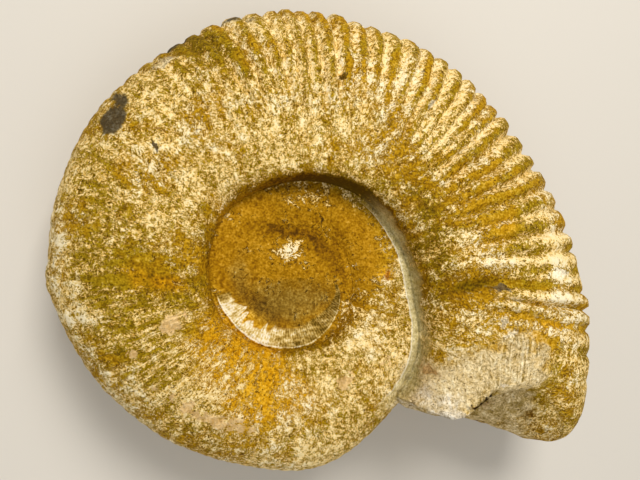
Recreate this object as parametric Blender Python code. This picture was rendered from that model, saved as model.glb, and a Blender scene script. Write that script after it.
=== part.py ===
"""A large ribbed ammonite: the natural limestone cast of its coiled shell, lying on one flank.

The cast is one solid. It is drawn in the shell's own frame, where the coil axis is Z and the
coil lies in the XY plane, and is then laid down on the worn high spots of its lower flank.
Lengths are metres. Angles round the coil are degrees: an azimuth is measured from +X, and an
age is how far a place lies back along the coil from the broken mouth.
"""

import bpy
import numpy as np
from mathutils import Euler, Matrix, Vector

MM = 0.001
TURN = 360.0

# ---- the coil ----
MOUTH_AZIMUTH = -20.0          # age 0
GROWTH = 2.06                  # the coil widens by this much in one turn
EDGE_RADIUS = 173.3 * MM       # coil axis to the outer edge, at age 0
SEAM_RADIUS = 63.4 * MM        # coil axis to the line between the last whorl and the one inside
NUCLEUS_RADIUS = 25.0 * MM     # inside this the coil is filled with stone
HALF_THICKNESS = 50.5 * MM     # coil plane to the crest of the flank, at age 0
THICKNESS_GROWTH = 1.7
NUCLEUS_HEIGHT = 23.0 * MM     # coil plane to the rim of the filled middle
NUCLEUS_RISE = 1.2 * MM        # the middle domes up by this much

# Departures from the true spiral: age, half width in degrees, gain in radius.
EDGE_SWELLS = (
    (-2.0, 24.0, 0.012),
    (46.0, 40.0, -0.038),
    (117.0, 30.0, 0.032),
    (160.0, 45.0, 0.020),
    (198.0, 30.0, 0.015),
    (202.0, 8.0, 0.018),
    (252.0, 56.0, -0.036),
    (301.0, 28.0, 0.041),
)
SEAM_SWELLS = (
    (-30.0, 50.0, 0.210),
    (50.0, 60.0, -0.050),
    (190.0, 40.0, -0.040),
    (318.0, 40.0, 0.070),
)

# Section of a whorl: two superellipse quarters that meet at the crest of the flank.
FLANK_CREST = 0.28             # place of the crest, as a share of the whorl's height
WALL_POWERS = (2.3, 1.9)       # navel wall: along the whorl's height, across its thickness
FLANK_POWERS = (2.3, 2.1)      # flank and outer edge

# ---- the ribs ----
RIB_START = -14.66             # azimuth of rib number 0
RIB_PITCH = 4.006
RIB_DRIFT = 2.16               # they are crowded and spread by this many degrees
RIB_DRIFT_COUNT = 37.0         # ribs in one cycle of the drift
RIB_DRIFT_PHASE = -95.6
RIB_HEIGHT = 0.019             # crest over furrow, as a share of the outer radius
RIB_ROOT = (0.36, 0.70)        # they rise out of the flank over this share of its height
RIB_FIRST_AGE = (-2.0, 10.0)   # they are broken away at the mouth
RIB_WORN_AGE = (115.0, 178.0)  # and are worn low on the older half of the whorl
RIB_WORN_SHARE = (0.14, 0.30)  # what is left there, on the upper and the lower flank

# Hollows in the flanks, or humps where the depth is negative: x, y, half length, half width,
# heading, depth.
UPPER_HOLLOWS = (
    (88.0 * MM, -4.0 * MM, 26.0 * MM, 7.0 * MM, 23.0, 3.6 * MM),
    (88.0 * MM, -36.0 * MM, 20.0 * MM, 6.0 * MM, 95.0, 2.0 * MM),
    (65.0 * MM, -38.0 * MM, 20.0 * MM, 13.0 * MM, 100.0, -2.2 * MM),
    (112.0 * MM, -42.0 * MM, 22.0 * MM, 13.0 * MM, 80.0, 1.5 * MM),
    (-100.0 * MM, -12.0 * MM, 26.0 * MM, 14.0 * MM, 80.0, 1.8 * MM),
    (-62.0 * MM, -62.0 * MM, 26.0 * MM, 14.0 * MM, -45.0, 2.0 * MM),
)
LOWER_HOLLOWS = (
    (24.0 * MM, 112.0 * MM, 22.0 * MM, 12.0 * MM, 75.0, 3.2 * MM),
    (-70.0 * MM, -42.0 * MM, 24.0 * MM, 13.0 * MM, 30.0, 2.6 * MM),
    (138.0 * MM, -30.0 * MM, 26.0 * MM, 10.0 * MM, 70.0, 3.0 * MM),
)

# ---- the broken mouth ----
BREAK_LINE = -60.0 * MM        # the mouth is broken off along this Y, at the crest of the flanks
BREAK_SWING = -17.0 * MM       # and further out at the outer edge
LIP = (72.0 * MM, 12.0 * MM, -7.0 * MM)     # the lip beside the seam: x, half width, reach
NICK = (92.0 * MM, 10.0 * MM, 3.0 * MM)     # the nick beside the lip
BULGES = (                                  # the stone standing out of the mouth
    (139.0 * MM, 31.0 * MM, -14.0 * MM),
    (73.0 * MM, 16.0 * MM, -6.0 * MM),
)
HOLLOW = (96.0 * MM, 13.0 * MM, 9.0 * MM)   # the hollow under the upper lip
BREAK_ROUGHNESS = 1.4 * MM

LUMP_HEIGHT = 0.7 * MM         # broad weathered lumps all over

# ---- how the cast lies ----
REST_TILT = (-1.23, -3.30)     # turns about X and then Y, in degrees
REST_SHIFT = (-25.28 * MM, -22.85 * MM, 43.86 * MM)   # its high spots are worn 1.5 mm flat

# ---- mesh density ----
RIB_STATIONS = (-0.2, 0.0, 0.2, 0.5)   # cross sections of each rib, as shares of the pitch
SMOOTH_STEP = 6.0
WALL_STEP = 9.0
WALL_COLUMNS = (0.0, 0.33, 0.67, 1.0)
FLANK_COLUMNS = (1.5, 2.0, 2.2, 2.4, 2.6, 2.8, 3.0)
COVER_COLUMN = 2.0             # the next whorl's seam lies along this one
BREAK_SHARES = (0.06, 0.18, 0.34, 0.54, 0.78)   # rows of the broken face, from rim to inside

STONE_COLOUR = (0.45, 0.30, 0.10, 1.0)


def smoothstep(low, high, x):
    share = np.clip((x - low) / (high - low), 0.0, 1.0)
    return share * share * (3.0 - 2.0 * share)


def swelling(age, swells):
    """Sum of the cosine humps, as a gain on a radius."""
    return sum(
        gain * 0.5 * (1.0 + np.cos(np.pi * np.minimum(np.abs(age - centre) / half_width, 1.0)))
        for centre, half_width, gain in swells
    )


def edge_radius(age):
    return EDGE_RADIUS * GROWTH ** (-age / TURN) * (1.0 + swelling(age, EDGE_SWELLS))


def seam_radius(age):
    radius = SEAM_RADIUS * GROWTH ** (-age / TURN) * (1.0 + swelling(age, SEAM_SWELLS))
    return np.maximum(radius, NUCLEUS_RADIUS)


def crest_height(age):
    """Height of the flank's crest over the coil plane. It levels out at the filled middle."""
    thickness = HALF_THICKNESS * THICKNESS_GROWTH ** (-age / TURN)
    return (thickness ** 8 + NUCLEUS_HEIGHT ** 8) ** 0.125


def cover_share(age):
    """Share of the whorl's height at which the seam of the next whorl lies on it."""
    inner = seam_radius(age)
    return (seam_radius(age - TURN) - inner) / (edge_radius(age) - inner)


def crest_share(age):
    return np.minimum(FLANK_CREST, 0.5 * cover_share(age))


def cover_reach(age):
    """How far out from the crest the next whorl's seam lies, as a share of the way."""
    crest = crest_share(age)
    return np.clip((cover_share(age) - crest) / (1.0 - crest), 0.0, 1.0)


def seam_height(age):
    """Height of the seam over the coil plane, on the flank of the whorl inside."""
    reach = cover_reach(age + TURN)
    return crest_height(age + TURN) * (1.0 - reach ** FLANK_POWERS[0]) ** (1.0 / FLANK_POWERS[1])


def rib_azimuth(number):
    cycle = np.radians(RIB_DRIFT_PHASE + TURN * number / RIB_DRIFT_COUNT)
    return RIB_START + RIB_PITCH * number + RIB_DRIFT * np.sin(cycle)


def rib_number(azimuth):
    """The inverse of rib_azimuth, found by repeated correction."""
    number = (azimuth - RIB_START) / RIB_PITCH
    for _ in range(8):
        number = number - (rib_azimuth(number) - azimuth) / RIB_PITCH
    return number


def rib_relief(age, share, side):
    """Height of the ribs over the smooth whorl."""
    wave = np.cos(np.pi * rib_number(MOUTH_AZIMUTH + age)) ** 2
    left = RIB_WORN_SHARE[0 if side > 0 else 1]
    strength = smoothstep(*RIB_FIRST_AGE, age) * (1.0 - (1.0 - left) * smoothstep(*RIB_WORN_AGE, age))
    strength = strength * (1.0 - smoothstep(300.0, 345.0, age)) * smoothstep(*RIB_ROOT, share)
    return RIB_HEIGHT * edge_radius(age) * strength * (wave - 0.5)


def hollow_depth(x, y, side):
    total = 0.0
    for cx, cy, half_length, half_width, heading, depth in UPPER_HOLLOWS if side > 0 else LOWER_HOLLOWS:
        turn = np.radians(heading)
        along = (x - cx) * np.cos(turn) + (y - cy) * np.sin(turn)
        across = (y - cy) * np.cos(turn) - (x - cx) * np.sin(turn)
        total = total + depth * np.exp(-((along / half_length) ** 2) - (across / half_width) ** 2)
    return total


def lumps(x, y, side):
    wave = np.sin(150.0 * x + 90.0 * y + side) * np.sin(170.0 * y - 60.0 * x + 1.7 * side)
    return LUMP_HEIGHT * (wave + 0.5 * np.sin(310.0 * x + 2.1 * side) * np.sin(280.0 * y))


def place(age, column, side):
    """A point of the whorl's surface, in the shell's frame.

    Columns run from the seam (0) over the crest of the flank (1), past the line where the next
    whorl sits (2), to the middle of the outer edge (3).
    """
    inner = seam_radius(age)
    height = edge_radius(age) - inner
    crest = crest_share(age)
    top = crest_height(age)
    foot = seam_height(age)

    wall = np.clip(column, 0.0, 1.0) * np.pi / 2.0
    cover = np.arcsin(cover_reach(age) ** (FLANK_POWERS[0] / 2.0))
    swing = cover * np.clip(column - 1.0, 0.0, 1.0)
    swing = np.minimum(swing + (np.pi / 2.0 - cover) * np.clip(column - 2.0, 0.0, 1.0), np.pi / 2.0)
    out = np.sin(swing) ** (2.0 / FLANK_POWERS[0])
    up = np.maximum(np.cos(swing), 0.0) ** (2.0 / FLANK_POWERS[1])

    on_wall = column < 1.0
    wall_share = crest * (1.0 - np.cos(wall) ** (2.0 / WALL_POWERS[0]))
    wall_z = foot + (top - foot) * np.sin(wall) ** (2.0 / WALL_POWERS[1])
    share = np.where(on_wall, wall_share, crest + (1.0 - crest) * out)
    z = np.where(on_wall, wall_z, top * up)

    steep = np.arctan2(out ** (FLANK_POWERS[0] - 1.0) * top, up ** (FLANK_POWERS[1] - 1.0) * height)
    relief = np.where(on_wall, 0.0, rib_relief(age, share, side))
    radius = inner + share * height + relief * np.sin(steep)
    azimuth = np.radians(MOUTH_AZIMUTH + age)
    x = radius * np.cos(azimuth)
    y = radius * np.sin(azimuth)
    z = z + relief * np.cos(steep)
    level = lumps(x, y, side) - hollow_depth(x, y, side)
    z = z + level * smoothstep(0.0, 0.6 * top, z) * np.clip(column, 0.0, 1.0)
    return np.stack(np.broadcast_arrays(x, y, side * z), axis=-1)


def bell(x, spec, power=2):
    centre, half_width, height = spec
    return height * np.exp(-(((x - centre) / half_width) ** power))


def break_line(x, z):
    """The Y at which the mouth is broken off."""
    swing = BREAK_SWING * np.clip(1.0 - np.abs(z) / (45.0 * MM), 0.0, 1.0)
    return BREAK_LINE + swing * smoothstep(100.0 * MM, 150.0 * MM, x) + bell(x, LIP) + bell(x, NICK)


def break_age(column, side):
    """Age at which a column runs out at the broken mouth, by halving."""
    low, high = -45.0, 15.0
    for _ in range(40):
        middle = 0.5 * (low + high)
        x, y, z = place(middle, column, side)
        low, high = (middle, high) if y < break_line(x, z) else (low, middle)
    return high


def break_relief(x, z, k):
    """How far the stone at the mouth stands out along Y, k being 0 at the rim and 1 inside."""
    shape = sum(bell(x, bulge, 4) for bulge in BULGES) * np.clip(1.0 - (z / (44.0 * MM)) ** 2, 0.0, 1.0)
    shape = shape + bell(x, HOLLOW) * np.exp(-(((z - 32.0 * MM) / (9.0 * MM)) ** 2))
    rough = np.sin(210.0 * x + 1.3) * np.sin(260.0 * z + 0.4) + 0.6 * np.sin(430.0 * x - 330.0 * z)
    return (shape + BREAK_ROUGHNESS * rough) * min(1.0, 8.0 * k, 3.0 * (1.0 - k))


class Cast:
    """The mesh of the cast: its points, and the faces between them by index."""

    def __init__(self):
        self.points = []
        self.faces = []

    def add(self, point):
        self.points.append(tuple(float(value) for value in point))
        return len(self.points) - 1

    def face(self, a, b, c, side):
        if len({a, b, c}) == 3:
            self.faces.append((a, b, c) if side > 0 else (a, c, b))

    def zip(self, inner, outer, side):
        """Joins two columns, each a list of (age, point), by triangles in order of age."""
        i = j = 0
        while i < len(inner) - 1 or j < len(outer) - 1:
            inner_next = inner[i + 1][0] if i < len(inner) - 1 else np.inf
            outer_next = outer[j + 1][0] if j < len(outer) - 1 else np.inf
            if inner_next <= outer_next:
                self.face(inner[i][1], outer[j][1], inner[i + 1][1], side)
                i += 1
            else:
                self.face(inner[i][1], outer[j][1], outer[j + 1][1], side)
                j += 1


def ages_from(first, ages):
    """The ages past the first one, leaving out any that would crowd it."""
    return [first, *[age for age in ages if age > first + 0.6]]


def rib_ages():
    """Ages of the cross sections along the ribbed and then the worn part of the last turn."""
    first = int(rib_number(-45.0))
    last = int(rib_number(MOUTH_AZIMUTH + RIB_WORN_AGE[1]))
    numbers = np.array([rib + share for rib in range(first, last + 1) for share in RIB_STATIONS])
    ribbed = rib_azimuth(numbers) - MOUTH_AZIMUTH
    count = round((TURN - ribbed[-1]) / SMOOTH_STEP)
    return [*ribbed, *np.linspace(ribbed[-1], TURN, count + 1)[1:]]


def build_cast():
    cast = Cast()
    nucleus_age = TURN * np.log(SEAM_RADIUS / NUCLEUS_RADIUS) / np.log(GROWTH)
    last_age = nucleus_age + TURN
    mouth_age = break_age(0.0, 1)
    end_age = mouth_age + TURN           # the uncovered part of the coil ends here

    wall_count = round((nucleus_age - mouth_age) / WALL_STEP)
    wall_ages = list(np.linspace(mouth_age, nucleus_age, wall_count + 1))
    wall_ages += list(np.linspace(nucleus_age, last_age, round(TURN / WALL_STEP) + 1)[1:])
    flank_ages = [age for age in rib_ages() if age < end_age - 1.5]

    edge = {}
    rims = {}
    feet = {}
    for side in (1, -1):
        columns = {}
        for column in (*WALL_COLUMNS, *FLANK_COLUMNS):
            if column == 3.0 and side < 0:
                columns[column] = edge
                continue
            first = break_age(column, side)
            if column <= 1.0:
                ages = ages_from(first, wall_ages)
            elif column < COVER_COLUMN:
                ages = ages_from(first, flank_ages) + [age for age in wall_ages if age >= end_age]
            else:
                ages = ages_from(first, flank_ages) + [end_age] * (column > COVER_COLUMN)
            columns[column] = [(age, cast.add(place(age, column, side))) for age in ages]
            if column == 3.0:
                edge = columns[column]

        # The coil runs out where the last column meets the turn outside it.
        seam = columns[0.0]
        pinch = min(seam, key=lambda entry: abs(entry[0] - nucleus_age))[1]
        for column in (*WALL_COLUMNS, 1.5):
            columns[column][-1] = (last_age, pinch)
        columns[COVER_COLUMN] += [
            (age + TURN, point) for age, point in seam if age <= nucleus_age + 0.1
        ]

        order = (*WALL_COLUMNS, *FLANK_COLUMNS)
        for inner, outer in zip(order, order[1:]):
            if inner >= COVER_COLUMN:
                limit = [entry for entry in columns[inner] if entry[0] <= end_age + 0.01]
                cast.zip(limit, columns[outer], side)
            else:
                cast.zip(columns[inner], columns[outer], side)
        rims[side] = [columns[column][0][1] for column in order]
        feet[side] = [
            [point for age, point in columns[column] if abs(age - end_age) < 0.01][0]
            for column in order if column >= COVER_COLUMN
        ]
        fill_nucleus(cast, [entry for entry in seam if entry[0] >= nucleus_age - 0.01], side)
    close_mouth(cast, rims, feet)
    return cast


def fill_nucleus(cast, loop, side):
    """The filled middle of the coil: a low dome inside the last turn of the seam."""
    rows = [[point for _, point in loop[:-1]]]
    for share in (0.66, 0.33):
        row = []
        for age, _ in loop[:-1]:
            azimuth = np.radians(MOUTH_AZIMUTH + age)
            rise = NUCLEUS_RISE * (1.0 - share ** 2)
            radius = share * NUCLEUS_RADIUS
            row.append(cast.add((
                radius * np.cos(azimuth), radius * np.sin(azimuth), side * (NUCLEUS_HEIGHT + rise),
            )))
        rows.append(row)
    middle = cast.add((0.0, 0.0, side * (NUCLEUS_HEIGHT + NUCLEUS_RISE)))
    for outer, inner in zip(rows, rows[1:]):
        for i in range(len(outer)):
            cast.face(inner[i - 1], outer[i - 1], outer[i], side)
            cast.face(inner[i - 1], outer[i], inner[i], side)
    for i in range(len(rows[-1])):
        cast.face(middle, rows[-1][i - 1], rows[-1][i], side)


def close_mouth(cast, rims, feet):
    """The broken mouth, from its rim in to the whorl it sits on."""
    rim = rims[1] + rims[-1][-2::-1]
    foot = feet[1] + feet[-1][-2::-1]
    places = np.linspace(0.0, 1.0, len(rim))
    foot_places = np.linspace(0.0, 1.0, len(foot))
    outside = np.array([cast.points[i] for i in rim])
    inside = np.array([cast.points[i] for i in foot])
    inside = np.stack([np.interp(places, foot_places, inside[:, axis]) for axis in range(3)], axis=-1)

    rows = [list(zip(places, rim))]
    for k in BREAK_SHARES:
        row = [(0.0, rim[0])]
        for i in range(1, len(rim) - 1):
            x, y, z = (1.0 - k) * outside[i] + k * inside[i]
            row.append((places[i], cast.add((x, y + break_relief(x, z, k), z))))
        rows.append([*row, (1.0, rim[-1])])
    rows.append(list(zip(foot_places, foot)))
    for outer, inner in zip(rows, rows[1:]):
        cast.zip(outer, inner, 1)


def lay_down(points):
    """Turns the cast onto its resting flank and wears flat the spots it lies on."""
    turn = Euler((np.radians(REST_TILT[0]), np.radians(REST_TILT[1]), 0.0)).to_matrix().to_4x4()
    move = Matrix.Translation(Vector(REST_SHIFT)) @ turn
    laid = [move @ Vector(point) for point in points]
    return [(p.x, p.y, max(p.z, 0.0)) for p in laid]


def stone_material():
    material = bpy.data.materials.new("limestone")
    material.use_nodes = True
    shader = material.node_tree.nodes["Principled BSDF"]
    shader.inputs["Base Color"].default_value = STONE_COLOUR
    shader.inputs["Roughness"].default_value = 0.9
    material.diffuse_color = STONE_COLOUR
    return material


for old in list(bpy.data.objects):
    bpy.data.objects.remove(old)

cast = build_cast()
mesh = bpy.data.meshes.new("ammonite")
mesh.from_pydata(lay_down(cast.points), [], cast.faces)
mesh.materials.append(stone_material())
mesh.polygons.foreach_set("use_smooth", [True] * len(mesh.polygons))
mesh.update()
ammonite = bpy.data.objects.new("ammonite", mesh)
bpy.context.scene.collection.objects.link(ammonite)
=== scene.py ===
"""A large ribbed ammonite: the limestone cast of its coiled shell, lying on one flank.

The cast is drawn in the shell's own frame, where the coil axis is Z and the coil lies in the XY
plane, and it is laid down at the end. Lengths are metres. Angles round the coil are degrees: an
azimuth is measured from +X, and an age is how far a place lies back along the coil from the mouth.
"""

import bpy
import numpy as np
from mathutils import Euler, Matrix, Vector


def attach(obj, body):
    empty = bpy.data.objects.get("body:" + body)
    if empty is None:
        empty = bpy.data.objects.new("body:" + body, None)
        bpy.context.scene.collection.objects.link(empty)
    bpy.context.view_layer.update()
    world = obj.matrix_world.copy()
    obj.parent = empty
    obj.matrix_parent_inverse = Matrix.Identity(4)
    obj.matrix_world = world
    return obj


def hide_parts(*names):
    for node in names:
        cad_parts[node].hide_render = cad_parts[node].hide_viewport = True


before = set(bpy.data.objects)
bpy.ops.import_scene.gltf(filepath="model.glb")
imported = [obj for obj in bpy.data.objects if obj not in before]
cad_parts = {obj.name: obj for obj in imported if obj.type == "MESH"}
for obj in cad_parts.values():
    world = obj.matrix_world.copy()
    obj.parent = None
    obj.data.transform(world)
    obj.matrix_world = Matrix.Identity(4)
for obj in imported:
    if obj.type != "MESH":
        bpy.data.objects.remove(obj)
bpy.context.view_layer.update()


# ---- the coil ----------------------------------------------------------------------------------
# The animal built its shell by adding to the mouth. Each turn is about twice as wide as the one
# inside it and partly wraps it. Mud filled the shell and hardened, and the shell itself is gone.

MM = 0.001
TURN = 360.0
MOUTH_AZIMUTH = -20.0          # age 0
GROWTH = 2.06                  # the coil widens by this much in one turn
EDGE_RADIUS = 173.3 * MM       # coil axis to the outer edge, at age 0
SEAM_RADIUS = 63.4 * MM        # coil axis to the line between the last whorl and the one inside
NUCLEUS_RADIUS = 25.0 * MM     # inside this the coil is filled with stone
HALF_THICKNESS = 50.5 * MM     # coil plane to the crest of the flank, at age 0
THICKNESS_GROWTH = 1.7
NUCLEUS_HEIGHT = 23.0 * MM     # coil plane to the rim of the filled middle
LEVELLING = 8                  # how sharply the crest levels out there

# Departures from the true spiral: age, half width in degrees, gain in radius.
EDGE_SWELLS = (
    (-13.0, 17.0, 0.045),
    (-2.0, 24.0, 0.012),
    (46.0, 40.0, -0.038),
    (117.0, 30.0, 0.032),
    (160.0, 45.0, 0.020),
    (198.0, 30.0, 0.015),
    (202.0, 8.0, 0.018),
    (252.0, 56.0, -0.036),
    (301.0, 28.0, 0.041),
)
SEAM_SWELLS = (
    (-30.0, 50.0, 0.210),
    (50.0, 60.0, -0.050),
    (118.0, 60.0, -0.068),
    (190.0, 40.0, -0.040),
    (318.0, 40.0, 0.070),
)

# Section of a whorl: two superellipse quarters that meet at the crest of the flank.
FLANK_CREST = 0.28             # place of the crest, as a share of the whorl's height
WALL_POWERS = (2.4, 2.0)       # navel wall: along the whorl's height, across its thickness
FLANK_POWERS = (2.3, 2.1)      # flank and outer edge
# The wall's shoulder is sharper on the upper side: age, half width, and gain in the powers.
WALL_SHARP = (90.0, 66.0, 2.0)


def swelling(age, swells):
    """Sum of the cosine humps, as a gain on a radius."""
    return sum(
        gain * 0.5 * (1.0 + np.cos(np.pi * np.minimum(np.abs(age - centre) / half_width, 1.0)))
        for centre, half_width, gain in swells
    )


def edge_radius(age):
    return EDGE_RADIUS * GROWTH ** (-age / TURN) * (1.0 + swelling(age, EDGE_SWELLS))


def seam_radius(age):
    radius = SEAM_RADIUS * GROWTH ** (-age / TURN) * (1.0 + swelling(age, SEAM_SWELLS))
    return np.maximum(radius, NUCLEUS_RADIUS)


def crest_height(age):
    """Height of the flank's crest over the coil plane. It levels out at the filled middle."""
    thickness = HALF_THICKNESS * THICKNESS_GROWTH ** (-age / TURN)
    return (thickness ** LEVELLING + NUCLEUS_HEIGHT ** LEVELLING) ** (1.0 / LEVELLING)


def cover_share(age):
    """Share of the whorl's height at which the seam of the next whorl lies on it."""
    inner = seam_radius(age)
    return (seam_radius(age - TURN) - inner) / (edge_radius(age) - inner)


def crest_share(age):
    """Share of the whorl's height at the crest, no more than half way to the next whorl's seam."""
    return np.minimum(FLANK_CREST, 0.5 * cover_share(age))


def cover_reach(age):
    """How far out from the crest the next whorl's seam lies, as a share of the way."""
    crest = crest_share(age)
    return np.clip((cover_share(age) - crest) / (1.0 - crest), 0.0, 1.0)


def seam_height(age):
    """Height of the seam over the coil plane, on the flank of the whorl inside."""
    reach = cover_reach(age + TURN)
    return crest_height(age + TURN) * (1.0 - reach ** FLANK_POWERS[0]) ** (1.0 / FLANK_POWERS[1])


# ---- the ribs ----------------------------------------------------------------------------------
# Ribs cross the outer flank and the outer edge. Each marks a halt in growth, so they differ in
# height, in how far in they reach and in how deep the furrow beside them is.

# Azimuth of each rib at the outer edge, and how far some of them differ in height.
RIB_AZIMUTHS = (
    -17.0, -12.2, -8.1, -4.6, -0.6, 3.4, 7.6, 12.4, 16.8, 22.0, 26.2, 30.6, 36.4, 40.0, 43.4, 47.0,
    51.0, 55.2, 59.0, 63.2, 68.2, 72.0, 75.8, 80.4, 85.0, 88.2, 91.4, 94.8, 99.2, 103.6, 109.2, 113.2,
)
RIB_PITCH = 4.1                # degrees, before the first and after the last of them
RIB_GAINS = {
    1: 0.5, 3: 1.35, 4: 0.1, 5: 0.6, 6: 1.35, 7: 0.8, 8: 0.8, 9: 1.25, 10: 1.15, 12: 1.5, 13: 0.6,
    18: 0.7, 19: 0.9, 20: 0.7, 22: 0.75, 23: 1.35, 29: 1.3, 30: 1.2,
}
RIB_HEIGHT = 0.0150            # crest over furrow, as a share of the outer radius
RIB_FIRST_AGE = (-2.0, 10.0)   # they are broken away at the mouth
RIB_WORN_AGE = (105.0, 170.0)  # and are worn low on the older half of the whorl
RIB_WORN_SHARE = {1: 0.16, -1: 0.30}   # what is left there, on the upper and the lower flank
RIB_LAST_AGE = (300.0, 345.0)
RIB_LEAN_AGE = (40.0, 95.0)    # the younger ribs run straight in, the older ones lean
RIB_SEED = 3
FURROW_SEED = 7
# The lime beside each rib lies on its slope toward the key lamp: partly lime, partly a painted
# highlight.
LIT_SLOPE_LIME = (0.02, 0.42)      # lime clings this far past each crest, in ribs: at the mouth, and on
LIME_AGE = (18.0, 34.0)        # the rest of the coil, changing over between these ages
RIB_SIZES = {
    "Wall power, height": WALL_POWERS[0],
    "Wall power, thickness": WALL_POWERS[1],
    "Flank power, height": FLANK_POWERS[0],
    "Flank power, thickness": FLANK_POWERS[1],
    "Rib crest": 0.36,         # half width of the flat crest, as a share of half the pitch
    "Rib rest": 0.50,          # share of the height that lies under the smooth whorl
    "Furrow edge": 0.62,
    "Furrow depth": 0.35,      # as a share of the rib's height
    "Rib spread": 0.15,        # ribs and furrows differ in size by up to this much
    "Root start": 0.12,        # ribs rise out of the flank over this share of its height
    "Root end": 0.62,
    "Root spread": 0.16,       # some start this much further in
    "Root lean": 0.22,         # where the ribs lean, they start this much further out
    "Rib lean": 1.9,           # at the seam they lie this many ribs nearer the mouth
    "Rib waver": 0.4,
    "Waver size": 20.0 * MM,
}


def smoothstep(low, high, x):
    share = np.clip((x - low) / (high - low), 0.0, 1.0)
    return share * share * (3.0 - 2.0 * share)


def rib_number(azimuth):
    """The number of the rib at an azimuth, in fractions between two ribs."""
    last = len(RIB_AZIMUTHS) - 1
    number = np.interp(azimuth, RIB_AZIMUTHS, np.arange(last + 1))
    before = np.minimum(azimuth - RIB_AZIMUTHS[0], 0.0)
    after = np.maximum(azimuth - RIB_AZIMUTHS[-1], 0.0)
    return number + (before + after) / RIB_PITCH


def rib_height(age, side):
    """Height of the ribs. It is nothing where they are broken away, and little where worn."""
    number = rib_number(MOUTH_AZIMUTH + age)
    # A gain is whole up to a third of the way to the next rib, and has faded out at that rib.
    gain = 1.0 + sum(
        (gain - 1.0) * np.clip(1.5 - 1.5 * np.abs(number - rib), 0.0, 1.0)
        for rib, gain in RIB_GAINS.items()
    )
    left = np.where(side > 0, RIB_WORN_SHARE[1], RIB_WORN_SHARE[-1])
    kept = 1.0 - (1.0 - left) * smoothstep(*RIB_WORN_AGE, age)
    ends = smoothstep(*RIB_FIRST_AGE, age) * (1.0 - smoothstep(*RIB_LAST_AGE, age))
    return RIB_HEIGHT * edge_radius(age) * kept * ends * gain


def add(tree, kind, *values, inputs=None, output=None, **settings):
    """Adds a node with its settings, and links or fills its inputs, in order or by name.

    A kind in capitals is a Math node that does that operation.
    """
    if kind.isupper():
        kind, settings["operation"] = "ShaderNodeMath", kind
    node = tree.nodes.new(kind)
    for name, value in settings.items():
        setattr(node, name, value)
    sockets = [socket for socket in node.inputs if socket.enabled]
    named = [(node.inputs[name], value) for name, value in (inputs or {}).items()]
    for socket, value in [*zip(sockets, values), *named]:
        if isinstance(value, bpy.types.NodeSocket):
            tree.links.new(value, socket)
        else:
            socket.default_value = value
    if output:
        return node.outputs[output]
    return next((socket for socket in node.outputs if socket.enabled), None)


VECTOR_MATH = "ShaderNodeVectorMath"
NOISE = "ShaderNodeTexNoise"
MIX = "ShaderNodeMix"
RANGE = "ShaderNodeMapRange"
SMOOTH = {"interpolation_type": "SMOOTHSTEP"}
ATTRIBUTE = "GeometryNodeInputNamedAttribute"
STORE = "GeometryNodeStoreNamedAttribute"


def new_tree(name, sizes):
    """A geometry tree with a mesh in and out, a named input for each size, and the material."""
    tree = bpy.data.node_groups.new(name, "GeometryNodeTree")
    tree.interface.new_socket("Mesh", in_out="INPUT", socket_type="NodeSocketGeometry")
    for size, value in sizes.items():
        socket = tree.interface.new_socket(size, in_out="INPUT", socket_type="NodeSocketFloat")
        socket.default_value = value
    tree.interface.new_socket("Stone", in_out="INPUT", socket_type="NodeSocketMaterial")
    tree.interface.new_socket("Mesh", in_out="OUTPUT", socket_type="NodeSocketGeometry")
    return tree, tree.nodes.new("NodeGroupInput").outputs


def finish_tree(tree, mesh, stone):
    mesh = add(tree, "GeometryNodeRealizeInstances", mesh)
    mesh = add(tree, "GeometryNodeSetMaterial", mesh, inputs={"Material": stone})
    add(tree, "NodeGroupOutput", mesh)


def bent(tree, part, angle, power):
    """The sine or cosine of an angle, as it goes round a superellipse of this power."""
    straight = add(tree, "MAXIMUM", add(tree, part, angle), 0.0)
    return add(tree, "POWER", straight, add(tree, "DIVIDE", 2.0, power))


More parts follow.
